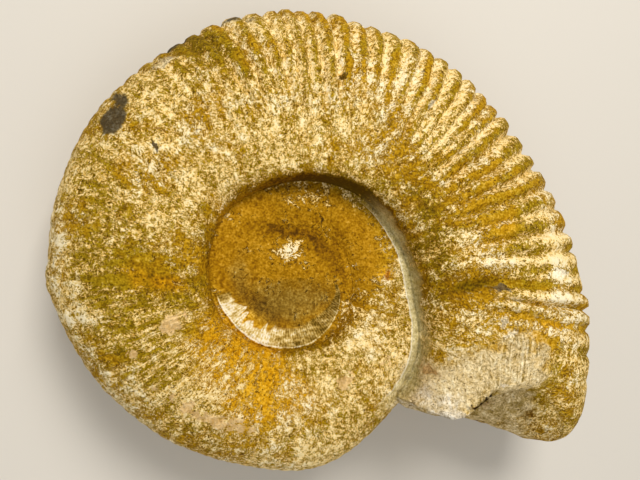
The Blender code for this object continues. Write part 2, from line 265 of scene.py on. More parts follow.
def whorl_tree():
    """Places the points of the net on the whorls, and raises the ribs on them."""
    tree, size = new_tree("whorls and ribs", RIB_SIZES)
    names = (
        "age", "column", "side", "inner", "height", "crest", "top", "foot", "cover", "rib", "rise",
        "lean", "limed", "sharp",
    )
    at = {name: add(tree, ATTRIBUTE, name, data_type="FLOAT") for name in names}
    quarter = np.pi / 2.0

    # The navel wall climbs from the seam to the crest of the flank.
    wall = add(tree, "MULTIPLY", add(tree, "MINIMUM", at["column"], 1.0), quarter)
    power = add(tree, "MULTIPLY", size["Wall power, height"], at["sharp"])
    outward = add(tree, "SUBTRACT", 1.0, bent(tree, "COSINE", wall, power))
    wall_share = add(tree, "MULTIPLY", at["crest"], outward)
    power = add(tree, "MULTIPLY", size["Wall power, thickness"], at["sharp"])
    above = add(tree, "SUBTRACT", at["top"], at["foot"])
    wall_z = add(tree, "MULTIPLY_ADD", above, bent(tree, "SINE", wall, power), at["foot"])

    # The flank falls from the crest, past the line of the next whorl's seam, to the outer edge.
    past_crest = add(tree, "SUBTRACT", at["column"], 1.0, use_clamp=True)
    past_cover = add(tree, "SUBTRACT", at["column"], 2.0, use_clamp=True)
    swing = add(tree, "MULTIPLY", at["cover"], past_crest)
    rest = add(tree, "SUBTRACT", quarter, at["cover"])
    swing = add(tree, "MULTIPLY_ADD", rest, past_cover, swing)
    swing = add(tree, "MINIMUM", swing, quarter)
    out = bent(tree, "SINE", swing, size["Flank power, height"])
    up = bent(tree, "COSINE", swing, size["Flank power, thickness"])
    left = add(tree, "SUBTRACT", 1.0, at["crest"])
    flank_share = add(tree, "MULTIPLY_ADD", left, out, at["crest"])
    flank_z = add(tree, "MULTIPLY", at["top"], up)

    # The point's place on the section is turned to its azimuth.
    on_wall = add(tree, "LESS_THAN", at["column"], 1.0)
    share = add(tree, MIX, on_wall, flank_share, wall_share)
    z = add(tree, "MULTIPLY", add(tree, MIX, on_wall, flank_z, wall_z), at["side"])
    radius = add(tree, "MULTIPLY_ADD", share, at["height"], at["inner"])
    turn = add(tree, "RADIANS", add(tree, "ADD", at["age"], MOUTH_AZIMUTH))
    point = add(tree, "ShaderNodeCombineXYZ", radius, 0.0, z)
    point = add(
        tree, "ShaderNodeVectorRotate", point, inputs={"Angle": turn}, rotation_type="Z_AXIS",
    )
    placed = add(tree, "GeometryNodeSetPosition", size["Mesh"], inputs={"Position": point})

    # Flat rib crests between rounded furrows, which waver, lean, and start each at a root of its own.
    here = add(tree, "GeometryNodeInputPosition")
    grain = add(tree, "DIVIDE", 1.0, size["Waver size"])
    waver = add(tree, NOISE, here, inputs={"Scale": grain, "Detail": 1.0})
    waver = add(tree, "SUBTRACT", waver, 0.5)
    rib = add(tree, "MULTIPLY_ADD", waver, size["Rib waver"], at["rib"])
    behind = add(tree, "SUBTRACT", 1.0, share)
    behind = add(tree, "MULTIPLY", behind, at["lean"])
    rib = add(tree, "MULTIPLY_ADD", behind, size["Rib lean"], rib)
    off = add(tree, "PINGPONG", rib, 0.5)
    off = add(tree, "MULTIPLY", off, 2.0)
    crest = add(tree, RANGE, off, size["Rib crest"], 1.0, 1.0, 0.0, **SMOOTH)
    furrow = add(tree, RANGE, off, size["Furrow edge"], 1.0, **SMOOTH)
    furrow = add(tree, "MULTIPLY", furrow, size["Furrow depth"])
    low = add(tree, "SUBTRACT", 1.0, size["Rib spread"])
    high = add(tree, "ADD", 1.0, size["Rib spread"])
    root_start = add(tree, "MULTIPLY_ADD", at["lean"], size["Root lean"], size["Root start"])
    parts = []
    for shape, rounding, seed in ((crest, "ROUND", RIB_SEED), (furrow, "FLOOR", FURROW_SEED)):
        which = add(tree, rounding, rib)
        which = add(tree, "FunctionNodeFloatToInt", which)
        gain = add(tree, "FunctionNodeRandomValue", low, high, which, seed, data_type="FLOAT")
        shift = add(
            tree, "FunctionNodeRandomValue", 0.0, size["Root spread"], which, seed + 1,
            data_type="FLOAT",
        )
        start = add(tree, "SUBTRACT", root_start, shift)
        end = add(tree, "SUBTRACT", size["Root end"], shift)
        root = add(tree, RANGE, share, start, end, **SMOOTH)
        part = add(tree, "MULTIPLY", shape, gain)
        parts.append(add(tree, "MULTIPLY", part, root))
    root = add(tree, RANGE, share, root_start, size["Root end"], **SMOOTH)
    rest = add(tree, "MULTIPLY", root, size["Rib rest"])
    relief = add(tree, "SUBTRACT", parts[0], parts[1])
    relief = add(tree, "SUBTRACT", relief, rest)
    relief = add(tree, "MULTIPLY", relief, at["rise"])

    # That slope faces the key lamp, so this lime is partly a painted highlight.
    # Lime clings to one slope of each rib. It is kept for the stone's look, with the whorl's share.
    phase = add(tree, "SUBTRACT", rib, at["limed"])
    phase = add(tree, "MULTIPLY", phase, 2.0 * np.pi)
    lime = add(tree, "MULTIPLY", add(tree, "COSINE", phase), root)
    for name, value in (("share", share), ("lime", lime)):
        placed = add(tree, STORE, placed, inputs={"Name": name, "Value": value}, data_type="FLOAT")
    normal = add(tree, "GeometryNodeInputNormal")
    offset = add(tree, VECTOR_MATH, normal, inputs={"Scale": relief}, operation="SCALE")
    placed = add(tree, "GeometryNodeSetPosition", placed, inputs={"Offset": offset})
    finish_tree(tree, placed, size["Stone"])
    return tree


def shaped(mesh, tree, sizes, stone):
    """Runs a tree over a mesh, and gives the plain mesh that it makes."""
    body = bpy.data.objects.new(mesh.name, mesh)
    bpy.context.scene.collection.objects.link(body)
    modifier = body.modifiers.new(tree.name, "NODES")
    modifier.node_group = tree
    values = {**sizes, "Stone": stone}
    for item in tree.interface.items_tree:
        if item.in_out == "INPUT" and item.name in values:
            modifier[item.identifier] = values[item.name]
    depsgraph = bpy.context.evaluated_depsgraph_get()
    result = bpy.data.meshes.new_from_object(
        body.evaluated_get(depsgraph), preserve_all_data_layers=True, depsgraph=depsgraph,
    )
    body.modifiers.remove(modifier)
    bpy.data.objects.remove(body)
    return result


def store(mesh, values, kind="FLOAT"):
    """Keeps arrays on the mesh's points, by name."""
    for name, array in values.items():
        attribute = mesh.attributes.get(name) or mesh.attributes.new(name, kind, "POINT")
        field = "vector" if kind == "FLOAT_VECTOR" else "value"
        attribute.data.foreach_set(field, np.asarray(array, dtype=np.float32).ravel())


def points_of(mesh):
    flat = np.empty(3 * len(mesh.vertices), dtype=np.float32)
    mesh.vertices.foreach_get("co", flat)
    return flat.reshape(-1, 3).astype(float)


def values_of(mesh, name):
    flat = np.empty(len(mesh.vertices), dtype=np.float32)
    mesh.attributes[name].data.foreach_get("value", flat)
    return flat.astype(float)


whorls = whorl_tree()
stone = bpy.data.materials.new("weathered limestone")      # it gets its look further down


class Net:
    """The cast's mesh before it has a shape: where each point lies on the coil, and the faces."""

    def __init__(self):
        self.places = []               # age, column and side of each point
        self.faces = []

    def add(self, age, column, side):
        self.places.append((age, column, side))
        return len(self.places) - 1

    def face(self, a, b, c, side):
        if len({a, b, c}) == 3:
            self.faces.append((a, b, c) if side > 0 else (a, c, b))

    def zip(self, inner, outer, side):
        """Joins two columns, each a list of (age, point), by triangles in order of age."""
        i = j = 0
        while i < len(inner) - 1 or j < len(outer) - 1:
            inner_next = inner[i + 1][0] if i < len(inner) - 1 else np.inf
            outer_next = outer[j + 1][0] if j < len(outer) - 1 else np.inf
            if inner_next <= outer_next:
                self.face(inner[i][1], outer[j][1], inner[i + 1][1], side)
                i += 1
            else:
                self.face(inner[i][1], outer[j][1], outer[j + 1][1], side)
                j += 1

    def grown(self):
        """The mesh with its points placed on the whorls."""
        age, column, side = np.array(self.places).T
        inner = seam_radius(age)
        mesh = bpy.data.meshes.new("whorls")
        mesh.from_pydata([(0.0, 0.0, 0.0)] * len(age), [], self.faces)
        store(mesh, {
            "age": age,
            "column": column,
            "side": side,
            "inner": inner,
            "height": edge_radius(age) - inner,
            "crest": crest_share(age),
            "top": crest_height(age),
            "foot": seam_height(age),
            "cover": np.arcsin(cover_reach(age) ** (FLANK_POWERS[0] / 2.0)),
            "rib": rib_number(MOUTH_AZIMUTH + age),
            "rise": rib_height(age, side),
            "lean": smoothstep(*RIB_LEAN_AGE, age),
            "sharp": np.where(side > 0, 1.0 + swelling(age, (WALL_SHARP,)), 1.0),
            "limed": LIT_SLOPE_LIME[0] + (LIT_SLOPE_LIME[1] - LIT_SLOPE_LIME[0]) * smoothstep(*LIME_AGE, age),
        })
        return shaped(mesh, whorls, RIB_SIZES, stone)


# ---- the broken mouth --------------------------------------------------------------------------
# The living chamber is broken off across the last whorl. The break runs unevenly, stands out in
# two pillows of stone, and is hollow under the upper lip.

BREAK_LINE = -60.0 * MM        # the mouth is broken off along this Y, at the crest of the flanks
BREAK_SWING = -36.5 * MM       # and this much further out at the outer edge
SWING_X = (100.0 * MM, 150.0 * MM)
SWING_HEIGHT = 46.0 * MM       # over the coil plane, where there is no such swing
LIP = (72.0 * MM, 12.0 * MM, -7.0 * MM)     # the lip beside the seam: x, half width, reach
NICK = (92.0 * MM, 10.0 * MM, 3.0 * MM)     # the nick beside the lip
# The stone that stands out of the mouth, or lies back in it where the reach is positive.
BULGES = (
    (136.0 * MM, 18.0 * MM, -9.0 * MM),
    (108.0 * MM, 20.0 * MM, 6.0 * MM),
    (76.0 * MM, 16.0 * MM, -2.5 * MM),
)
BULGE_HEIGHT = 44.0 * MM       # over the coil plane, where the bulges end
HOLLOW = (96.0 * MM, 13.0 * MM, 9.0 * MM)   # the hollow under the upper lip
HOLLOW_HEIGHT = (32.0 * MM, 9.0 * MM)       # its middle and half width, over the coil plane
BREAK_ROUGHNESS = 1.4 * MM
BREAK_WAVES = (210.0, 260.0, 430.0, 330.0)  # of the rough face, in radians for each metre
BREAK_PHASES = (1.3, 0.4)
BREAK_EASE = (8.0, 3.0)        # slopes with which the relief starts at the rim and ends inside
BREAK_WEATHERED = 0.3          # the stone looks freshly broken past this share of the way in
BREAK_AGES = np.arange(-45.0, 15.1, 0.5)    # the break is looked for among these
BREAK_ROWS = 26                # rows of the broken face, from the rim to the whorl inside


def bell(x, spec, power=2):
    centre, half_width, height = spec
    return height * np.exp(-(((x - centre) / half_width) ** power))


def break_line(x, z):
    """The Y at which the mouth is broken off."""
    swing = BREAK_SWING * np.clip(1.0 - (z / SWING_HEIGHT) ** 2, 0.0, 1.0)
    return BREAK_LINE + swing * smoothstep(*SWING_X, x) + bell(x, LIP) + bell(x, NICK)


def break_ages(columns, side):
    """Age at which each column runs out at the mouth, read off a strip grown past it."""
    strip = Net()
    for column in columns:
        for age in BREAK_AGES:
            strip.add(age, column, side)
    placed = points_of(strip.grown()).reshape(len(columns), len(BREAK_AGES), 3)
    beyond = placed[..., 1] - break_line(placed[..., 0], placed[..., 2])
    ages = {}
    for column, run in zip(columns, beyond):
        last = np.flatnonzero(run < 0.0)[-1]
        ages[column] = np.interp(0.0, run[last:last + 2], BREAK_AGES[last:last + 2])
    return ages


def break_relief(x, z, k):
    """How far the stone at the mouth lies back along Y, k being 0 at the rim and 1 inside."""
    shape = sum(bell(x, bulge, 4) for bulge in BULGES)
    shape = shape * np.clip(1.0 - (z / BULGE_HEIGHT) ** 2, 0.0, 1.0)
    shape = shape + bell(x, HOLLOW) * bell(z, (*HOLLOW_HEIGHT, 1.0))
    x_wave, z_wave, slant_x, slant_z = BREAK_WAVES
    rough = np.sin(x_wave * x + BREAK_PHASES[0]) * np.sin(z_wave * z + BREAK_PHASES[1])
    rough = rough + 0.6 * np.sin(slant_x * x - slant_z * z)
    eased = min(1.0, BREAK_EASE[0] * k, BREAK_EASE[1] * (1.0 - k))
    return (shape + BREAK_ROUGHNESS * rough) * eased


# ---- the whorls and the filled middle ----------------------------------------------------------
# The cast is one solid piece of limestone. Its last whorl is whole, the turn inside shows in the
# navel, and the coil runs out at the middle, where stone fills it level.

# Columns of the mesh run from the seam (0) over the crest of the flank (1), past the line where
# the next whorl sits (2), to the middle of the outer edge (3). The upper flank is the finer one.
COLUMN_COUNTS = {1: (10, 24, 44), -1: (6, 10, 20)}
FLANK_STEP = {1: 0.65, -1: 1.1}       # degrees between the rows of the last turn
WALL_STEP = {1: 1.3, -1: 2.2}         # and of the navel wall and the turns inside
SAME_AGE = 0.01                       # ages closer than this are the same
NUCLEUS_RISE = 1.2 * MM               # the middle domes up by this much
NUCLEUS_SHARES = (0.86, 0.72, 0.58, 0.44, 0.3, 0.16)    # its rings, as shares of its radius
MIDDLE_AGE = 600.0                    # the very middle is given this age, past the coil's end


def steps(first, last, step):
    """Evenly spread ages, about one step apart."""
    return list(np.linspace(first, last, round((last - first) / step) + 1))


def ages_from(first, ages, step):
    """The ages past the first one, leaving out any that would crowd it."""
    return [first, *[age for age in ages if age > first + 0.5 * step]]


def build_net():
    """The net of the whole coil, and its open edges on each side.

    The mouth's face is to run from its rim to its foot, on the whorl inside, and the filled middle
    lies within a ring.
    """
    net = Net()
    nucleus_age = TURN * np.log(SEAM_RADIUS / NUCLEUS_RADIUS) / np.log(GROWTH)
    last_age = nucleus_age + TURN
    edge = {}
    rims = {}
    feet = {}
    rings = {}
    for side in (1, -1):
        order = [
            float(column) for i, count in enumerate(COLUMN_COUNTS[side])
            for column in np.linspace(i, i + 1.0, count + 1)[:-1]
        ]
        order.append(3.0)
        first = break_ages(order, side)
        end_age = first[0.0] + TURN    # the uncovered part of the coil ends here
        wall_ages = steps(first[0.0], nucleus_age, WALL_STEP[side])
        wall_ages += steps(nucleus_age, last_age, WALL_STEP[side])[1:]
        inner_ages = [age for age in wall_ages if age >= end_age]
        flank_ages = steps(first[0.0], end_age, FLANK_STEP[side])[:-1]

        columns = {}
        for column in order:
            if column == 3.0 and side < 0:
                columns[column] = edge
                continue
            if column <= 1.0:
                ages = ages_from(first[column], wall_ages, WALL_STEP[side])
            else:
                ages = ages_from(first[column], flank_ages, FLANK_STEP[side])
            if 1.0 < column < 2.0:
                ages += inner_ages
            elif column > 2.0:
                ages.append(end_age)
            columns[column] = [(age, net.add(age, column, side)) for age in ages]
            if column == 3.0:
                edge = columns[column]

        # The coil runs out where the last column meets the turn outside it.
        seam = columns[0.0]
        pinch = min(seam, key=lambda entry: abs(entry[0] - nucleus_age))[1]
        for column in order:
            if column < 2.0:
                columns[column][-1] = (last_age, pinch)
        columns[2.0] += [(age + TURN, point) for age, point in seam if age <= nucleus_age + SAME_AGE]

        for inner, outer in zip(order, order[1:]):
            if inner >= 2.0:
                last_turn = [entry for entry in columns[inner] if entry[0] <= end_age + SAME_AGE]
                net.zip(last_turn, columns[outer], side)
            else:
                net.zip(columns[inner], columns[outer], side)
        rims[side] = [columns[column][0][1] for column in order]
        feet[side] = [
            next(point for age, point in columns[column] if abs(age - end_age) < SAME_AGE)
            for column in order if column >= 2.0
        ]
        rings[side] = [point for age, point in seam[:-1] if age >= nucleus_age - SAME_AGE]
    return net, rims, feet, rings


net, rims, feet, rings = build_net()
coil = net.grown()
points = [tuple(point) for point in points_of(coil)]
limes = list(values_of(coil, "lime"))
shares = list(values_of(coil, "share"))
ages = [age for age, column, side in net.places]
sides = [side for age, column, side in net.places]
broken = [0.0] * len(points)


def add_point(point, age, side, share, fresh):
    """A point that lies on no column, such as one of the broken face."""
    points.append(tuple(point))
    ages.append(age)
    sides.append(side)
    shares.append(share)
    limes.append(0.0)
    broken.append(fresh)
    return len(points) - 1


def close_mouth():
    """The broken mouth, from its rim in to the whorl it sits on."""
    rim = rims[1] + rims[-1][-2::-1]
    foot = feet[1] + feet[-1][-2::-1]
    spots = np.linspace(0.0, 1.0, len(rim))
    foot_spots = np.linspace(0.0, 1.0, len(foot))
    outside = np.array([points[i] for i in rim])
    inside = np.array([points[i] for i in foot])
    inside = np.stack([np.interp(spots, foot_spots, inside[:, axis]) for axis in range(3)], axis=-1)
    rows = [list(zip(spots, rim))]
    for k in np.linspace(0.0, 1.0, BREAK_ROWS + 1)[1:-1]:
        x, y, z = ((1.0 - k) * outside + k * inside).T
        y = y + break_relief(x, z, k)
        row = [(0.0, rim[0])]
        for i in range(1, len(rim) - 1):
            point = (x[i], y[i], z[i])
            fresh = smoothstep(0.0, BREAK_WEATHERED, k)
            row.append((spots[i], add_point(point, 0.0, np.sign(z[i]), 0.5, fresh)))
        rows.append([*row, (1.0, rim[-1])])
    rows.append(list(zip(foot_spots, foot)))
    for outer, inner in zip(rows, rows[1:]):
        net.zip(outer, inner, 1)


def fill_nucleus(side):
    """The filled middle of the coil: a low dome inside the last turn of the seam."""
    ring = rings[side]
    azimuths = np.arctan2([points[i][1] for i in ring], [points[i][0] for i in ring])
    rows = [ring]
    for share in NUCLEUS_SHARES:
        height = side * (NUCLEUS_HEIGHT + NUCLEUS_RISE * (1.0 - share ** 2))
        radius = share * NUCLEUS_RADIUS
        rows.append([
            add_point((radius * np.cos(a), radius * np.sin(a), height), ages[i], side, 0.0, 0.0)
            for a, i in zip(azimuths, ring)
        ])
    top = side * (NUCLEUS_HEIGHT + NUCLEUS_RISE)
    middle = add_point((0.0, 0.0, top), MIDDLE_AGE, side, 0.0, 0.0)
    for outer, inner in zip(rows, rows[1:]):
        for i in range(len(ring)):
            net.face(inner[i - 1], outer[i - 1], outer[i], side)
            net.face(inner[i - 1], outer[i], inner[i], side)
    for i in range(len(ring)):
        net.face(middle, rows[-1][i - 1], rows[-1][i], side)


close_mouth()
for side in (1, -1):
    fill_nucleus(side)


# ---- the navel ---------------------------------------------------------------------------------
# The middle of the coil is sunk into a dish. Its slope, under the seam of the turn outside, is
# coated with lime and shows fine cross ridges. A strip of lime clay fills the seam near the mouth.

DISH_DEPTH = 4.4 * MM
DISH_FLOOR = (9.0 * MM, 27.0 * MM, 0.6)   # it grows shallower by this share over this stretch
# Upper edge of its slope: azimuth, radius, and width of the slope.
DISH_EDGE = (
    (-236.0, 45.0 * MM, 9.0 * MM),
    (-200.0, 41.0 * MM, 9.0 * MM),
    (-160.0, 38.2 * MM, 7.0 * MM),
    (-146.0, 37.4 * MM, 8.0 * MM),
    (-119.0, 36.8 * MM, 10.0 * MM),
    (-92.0, 35.5 * MM, 10.2 * MM),
    (-73.0, 34.2 * MM, 10.4 * MM),
    (-54.0, 31.0 * MM, 8.0 * MM),
    (-39.0, 28.5 * MM, 5.0 * MM),
    (-19.0, 25.1 * MM, 2.4 * MM),
    (-8.0, 22.0 * MM, 1.5 * MM),
)
DISH_WRAP = 90.0               # azimuths over this are a full turn lower here
DISH_START = (-6.0, -48.0)     # azimuths between which the dish grows deep, and ends
DISH_END = (-236.0, -165.0)
COAT_START = (-6.0, -14.0)     # and the lime on its slope starts and ends sooner
COAT_END = (-170.0, -156.0)
UPPER_START = 0.7 * NUCLEUS_HEIGHT        # all this is on the upper flank, over this height
COAT_LEFT = ((-150.0, -112.0, -85.0, -20.0), (1.0, 0.85, 0.5, 0.35))   # it thins toward the mouth
CREASE = (36.0 * MM, 27.0 * MM)           # the seam's last turn is worn away inside this radius
CREASE_LEFT = 0.75             # and is this much less worn where there is no dish
PLACE_LIMIT = 3.0              # places further off the slope or the clay than this count as this
CLAY_AGE = (-40.0, -20.0, 45.0, 72.0)     # the strip of clay starts and ends between these
CLAY_WIDTH = ((-30.0, 10.0, 60.0), (6.0 * MM, 4.4 * MM, 2.4 * MM))   # on the whorl inside, by age


def navel(shell, side):
    """How deep the dish is at each point, and how the point lies to its slope and to the clay.

    On the slope, dish runs from 0 at its upper edge to 1. In the clay, seam runs from -1 on the
    whorl inside over 0 at the seam.
    """
    x, y, z = shell.T
    radius = np.hypot(x, y)
    azimuth = np.degrees(np.arctan2(y, x))
    azimuth = np.where(azimuth > DISH_WRAP, azimuth - TURN, azimuth)
    edges, radii, widths = np.array(DISH_EDGE).T
    inside = np.interp(azimuth, edges, radii) - radius
    width = np.interp(azimuth, edges, widths)
    upper = (side > 0) & (z > UPPER_START)
    weight = smoothstep(*DISH_START, azimuth) * smoothstep(*DISH_END, azimuth) * upper
    floor = 1.0 - DISH_FLOOR[2] * smoothstep(*DISH_FLOOR[:2], inside)
    depth = DISH_DEPTH * smoothstep(0.0, width, inside) * floor * weight
    worn = smoothstep(*CREASE, radius) * upper
    depth += (z - NUCLEUS_HEIGHT - NUCLEUS_RISE) * worn * (CREASE_LEFT + (1.0 - CREASE_LEFT) * weight)
    dish = np.clip(inside / width, -PLACE_LIMIT, PLACE_LIMIT)
    coat = smoothstep(*COAT_START, azimuth) * smoothstep(*COAT_END, azimuth)
    coat *= np.interp(azimuth, *COAT_LEFT)

    age = np.degrees(np.arctan2(y, x)) - MOUTH_AZIMUTH
    seam = (radius - seam_radius(age)) / np.interp(age, *CLAY_WIDTH)
    seam = np.clip(seam, -PLACE_LIMIT, PLACE_LIMIT)
    clay = smoothstep(*CLAY_AGE[:2], age) * smoothstep(*CLAY_AGE[:1:-1], age)
    return depth, {"dish": dish, "coat": coat * upper, "seam": seam, "clay": clay * upper}


# ---- the weathered surface ---------------------------------------------------------------------
# Weather and old plough marks have dented and pitted the stone. The hollows and humps listed here
# are the ones a hand would find on the upper flank and on the lower.

# Hollows, or humps where the depth is negative: x, y, half length, half width, heading, depth.
UPPER_HOLLOWS = (
    (88.0 * MM, -4.0 * MM, 26.0 * MM, 7.0 * MM, 23.0, 3.6 * MM),
    (88.0 * MM, -36.0 * MM, 20.0 * MM, 6.0 * MM, 95.0, 2.0 * MM),
    (65.0 * MM, -38.0 * MM, 20.0 * MM, 13.0 * MM, 100.0, -2.2 * MM),
    (112.0 * MM, -42.0 * MM, 22.0 * MM, 13.0 * MM, 80.0, 1.5 * MM),
    (-100.0 * MM, -12.0 * MM, 26.0 * MM, 14.0 * MM, 80.0, 1.8 * MM),
    (-62.0 * MM, -62.0 * MM, 26.0 * MM, 14.0 * MM, -45.0, 2.0 * MM),
    (42.0 * MM, 88.0 * MM, 30.0 * MM, 3.2 * MM, 80.0, 1.4 * MM),
    (90.0 * MM, 61.0 * MM, 32.0 * MM, 4.6 * MM, 36.0, 2.0 * MM),
    (56.0 * MM, 112.0 * MM, 9.0 * MM, 8.0 * MM, 70.0, -2.0 * MM),
    (84.0 * MM, -7.0 * MM, 12.0 * MM, 4.0 * MM, 14.0, 3.4 * MM),
    (114.0 * MM, -3.5 * MM, 26.0 * MM, 3.0 * MM, 0.0, 1.8 * MM),
    (99.0 * MM, 6.0 * MM, 20.0 * MM, 4.0 * MM, 6.0, -1.2 * MM),
    (123.0 * MM, -18.0 * MM, 22.0 * MM, 2.0 * MM, -4.0, 1.2 * MM),
)
LOWER_HOLLOWS = (
    (24.0 * MM, 112.0 * MM, 22.0 * MM, 12.0 * MM, 75.0, 3.2 * MM),
    (-70.0 * MM, -42.0 * MM, 24.0 * MM, 13.0 * MM, 30.0, 2.6 * MM),
    (138.0 * MM, -30.0 * MM, 26.0 * MM, 10.0 * MM, 70.0, 3.0 * MM),
)
WEATHER_SIZES = {
    "Lump size": 24.0 * MM,
    "Lump height": 1.6 * MM,
    "Dent size": 8.0 * MM,
    "Dent height": 0.9 * MM,
    "Pit size": 3.2 * MM,
    "Pit depth": 0.6 * MM,
    "Pit start": 0.56,         # level of the noise where a pit's slope begins, and where it ends
    "Pit end": 0.72,
    "Fracture size": 9.0 * MM,
    "Fracture height": 6.0 * MM,
    "Wear steps": 60.0,        # steps of rounding at the worn stretch of the mouth's rim
}
HOLLOW_FADE = 25.0 * MM        # the hollows and humps fade out this close to the coil plane
# The mouth's rim is worn round from the first of these X on, fully past the second, and from the
# first of these distances in Y to the second, nearer the rim.
WORN_X = (90.0 * MM, 112.0 * MM)
WORN_REACH = (26.0 * MM, 10.4 * MM)


def patches(x, y, specs):
    """Sum of soft-edged ellipses: x, y, half length, half width, heading, strength."""
    total = np.zeros_like(x)
    for cx, cy, half_length, half_width, heading, strength in specs:
        turn = np.radians(heading)
        along = (x - cx) * np.cos(turn) + (y - cy) * np.sin(turn)
        across = (y - cy) * np.cos(turn) - (x - cx) * np.sin(turn)
        total += strength * np.exp(-((along / half_length) ** 2) - (across / half_width) ** 2)
    return total


def weather_tree():
    """Displaces the surface: lumps, dents, pits and the rough grain of broken stone."""
    tree, size = new_tree("weathering", WEATHER_SIZES)
    here = add(tree, "GeometryNodeInputPosition")
    names = ("worn", "fracture", "sunk", "side")
    at = {name: add(tree, ATTRIBUTE, name, data_type="FLOAT") for name in names}
    rounded = add(
        tree, "GeometryNodeBlurAttribute", data_type="FLOAT_VECTOR",
        inputs={"Value": here, "Iterations": size["Wear steps"], "Weight": at["worn"]},
    )
    rounded = add(tree, "GeometryNodeSetPosition", size["Mesh"], inputs={"Position": rounded})
    normal = add(tree, "GeometryNodeInputNormal")
    total = None
    for name, detail in (("Lump", 1.0), ("Dent", 2.0), ("Fracture", 4.0)):
        scale = add(tree, "DIVIDE", 1.0, size[name + " size"])
        wave = add(tree, NOISE, here, inputs={"Scale": scale, "Detail": detail})
        wave = add(tree, "SUBTRACT", wave, 0.5)
        wave = add(tree, "MULTIPLY", wave, size[name + " height"])
        if name == "Fracture":
            wave = add(tree, "MULTIPLY", wave, at["fracture"])
        total = add(tree, "ADD", wave, total) if total else wave
    scale = add(tree, "DIVIDE", 1.0, size["Pit size"])
    pit = add(tree, NOISE, here, inputs={"Scale": scale, "Detail": 1.0})
    pit = add(tree, RANGE, pit, size["Pit start"], size["Pit end"], **SMOOTH)
    pit = add(tree, "MULTIPLY", pit, size["Pit depth"])
    total = add(tree, "SUBTRACT", total, pit)
    offset = add(tree, VECTOR_MATH, normal, inputs={"Scale": total}, operation="SCALE")
    sink = add(tree, "MULTIPLY", add(tree, "MULTIPLY", at["sunk"], at["side"]), -1.0)
    sink = add(tree, "ShaderNodeCombineXYZ", 0.0, 0.0, sink)
    offset = add(tree, VECTOR_MATH, offset, sink, operation="ADD")
    placed = add(tree, "GeometryNodeSetPosition", rounded, inputs={"Offset": offset})
    finish_tree(tree, placed, size["Stone"])
    return tree
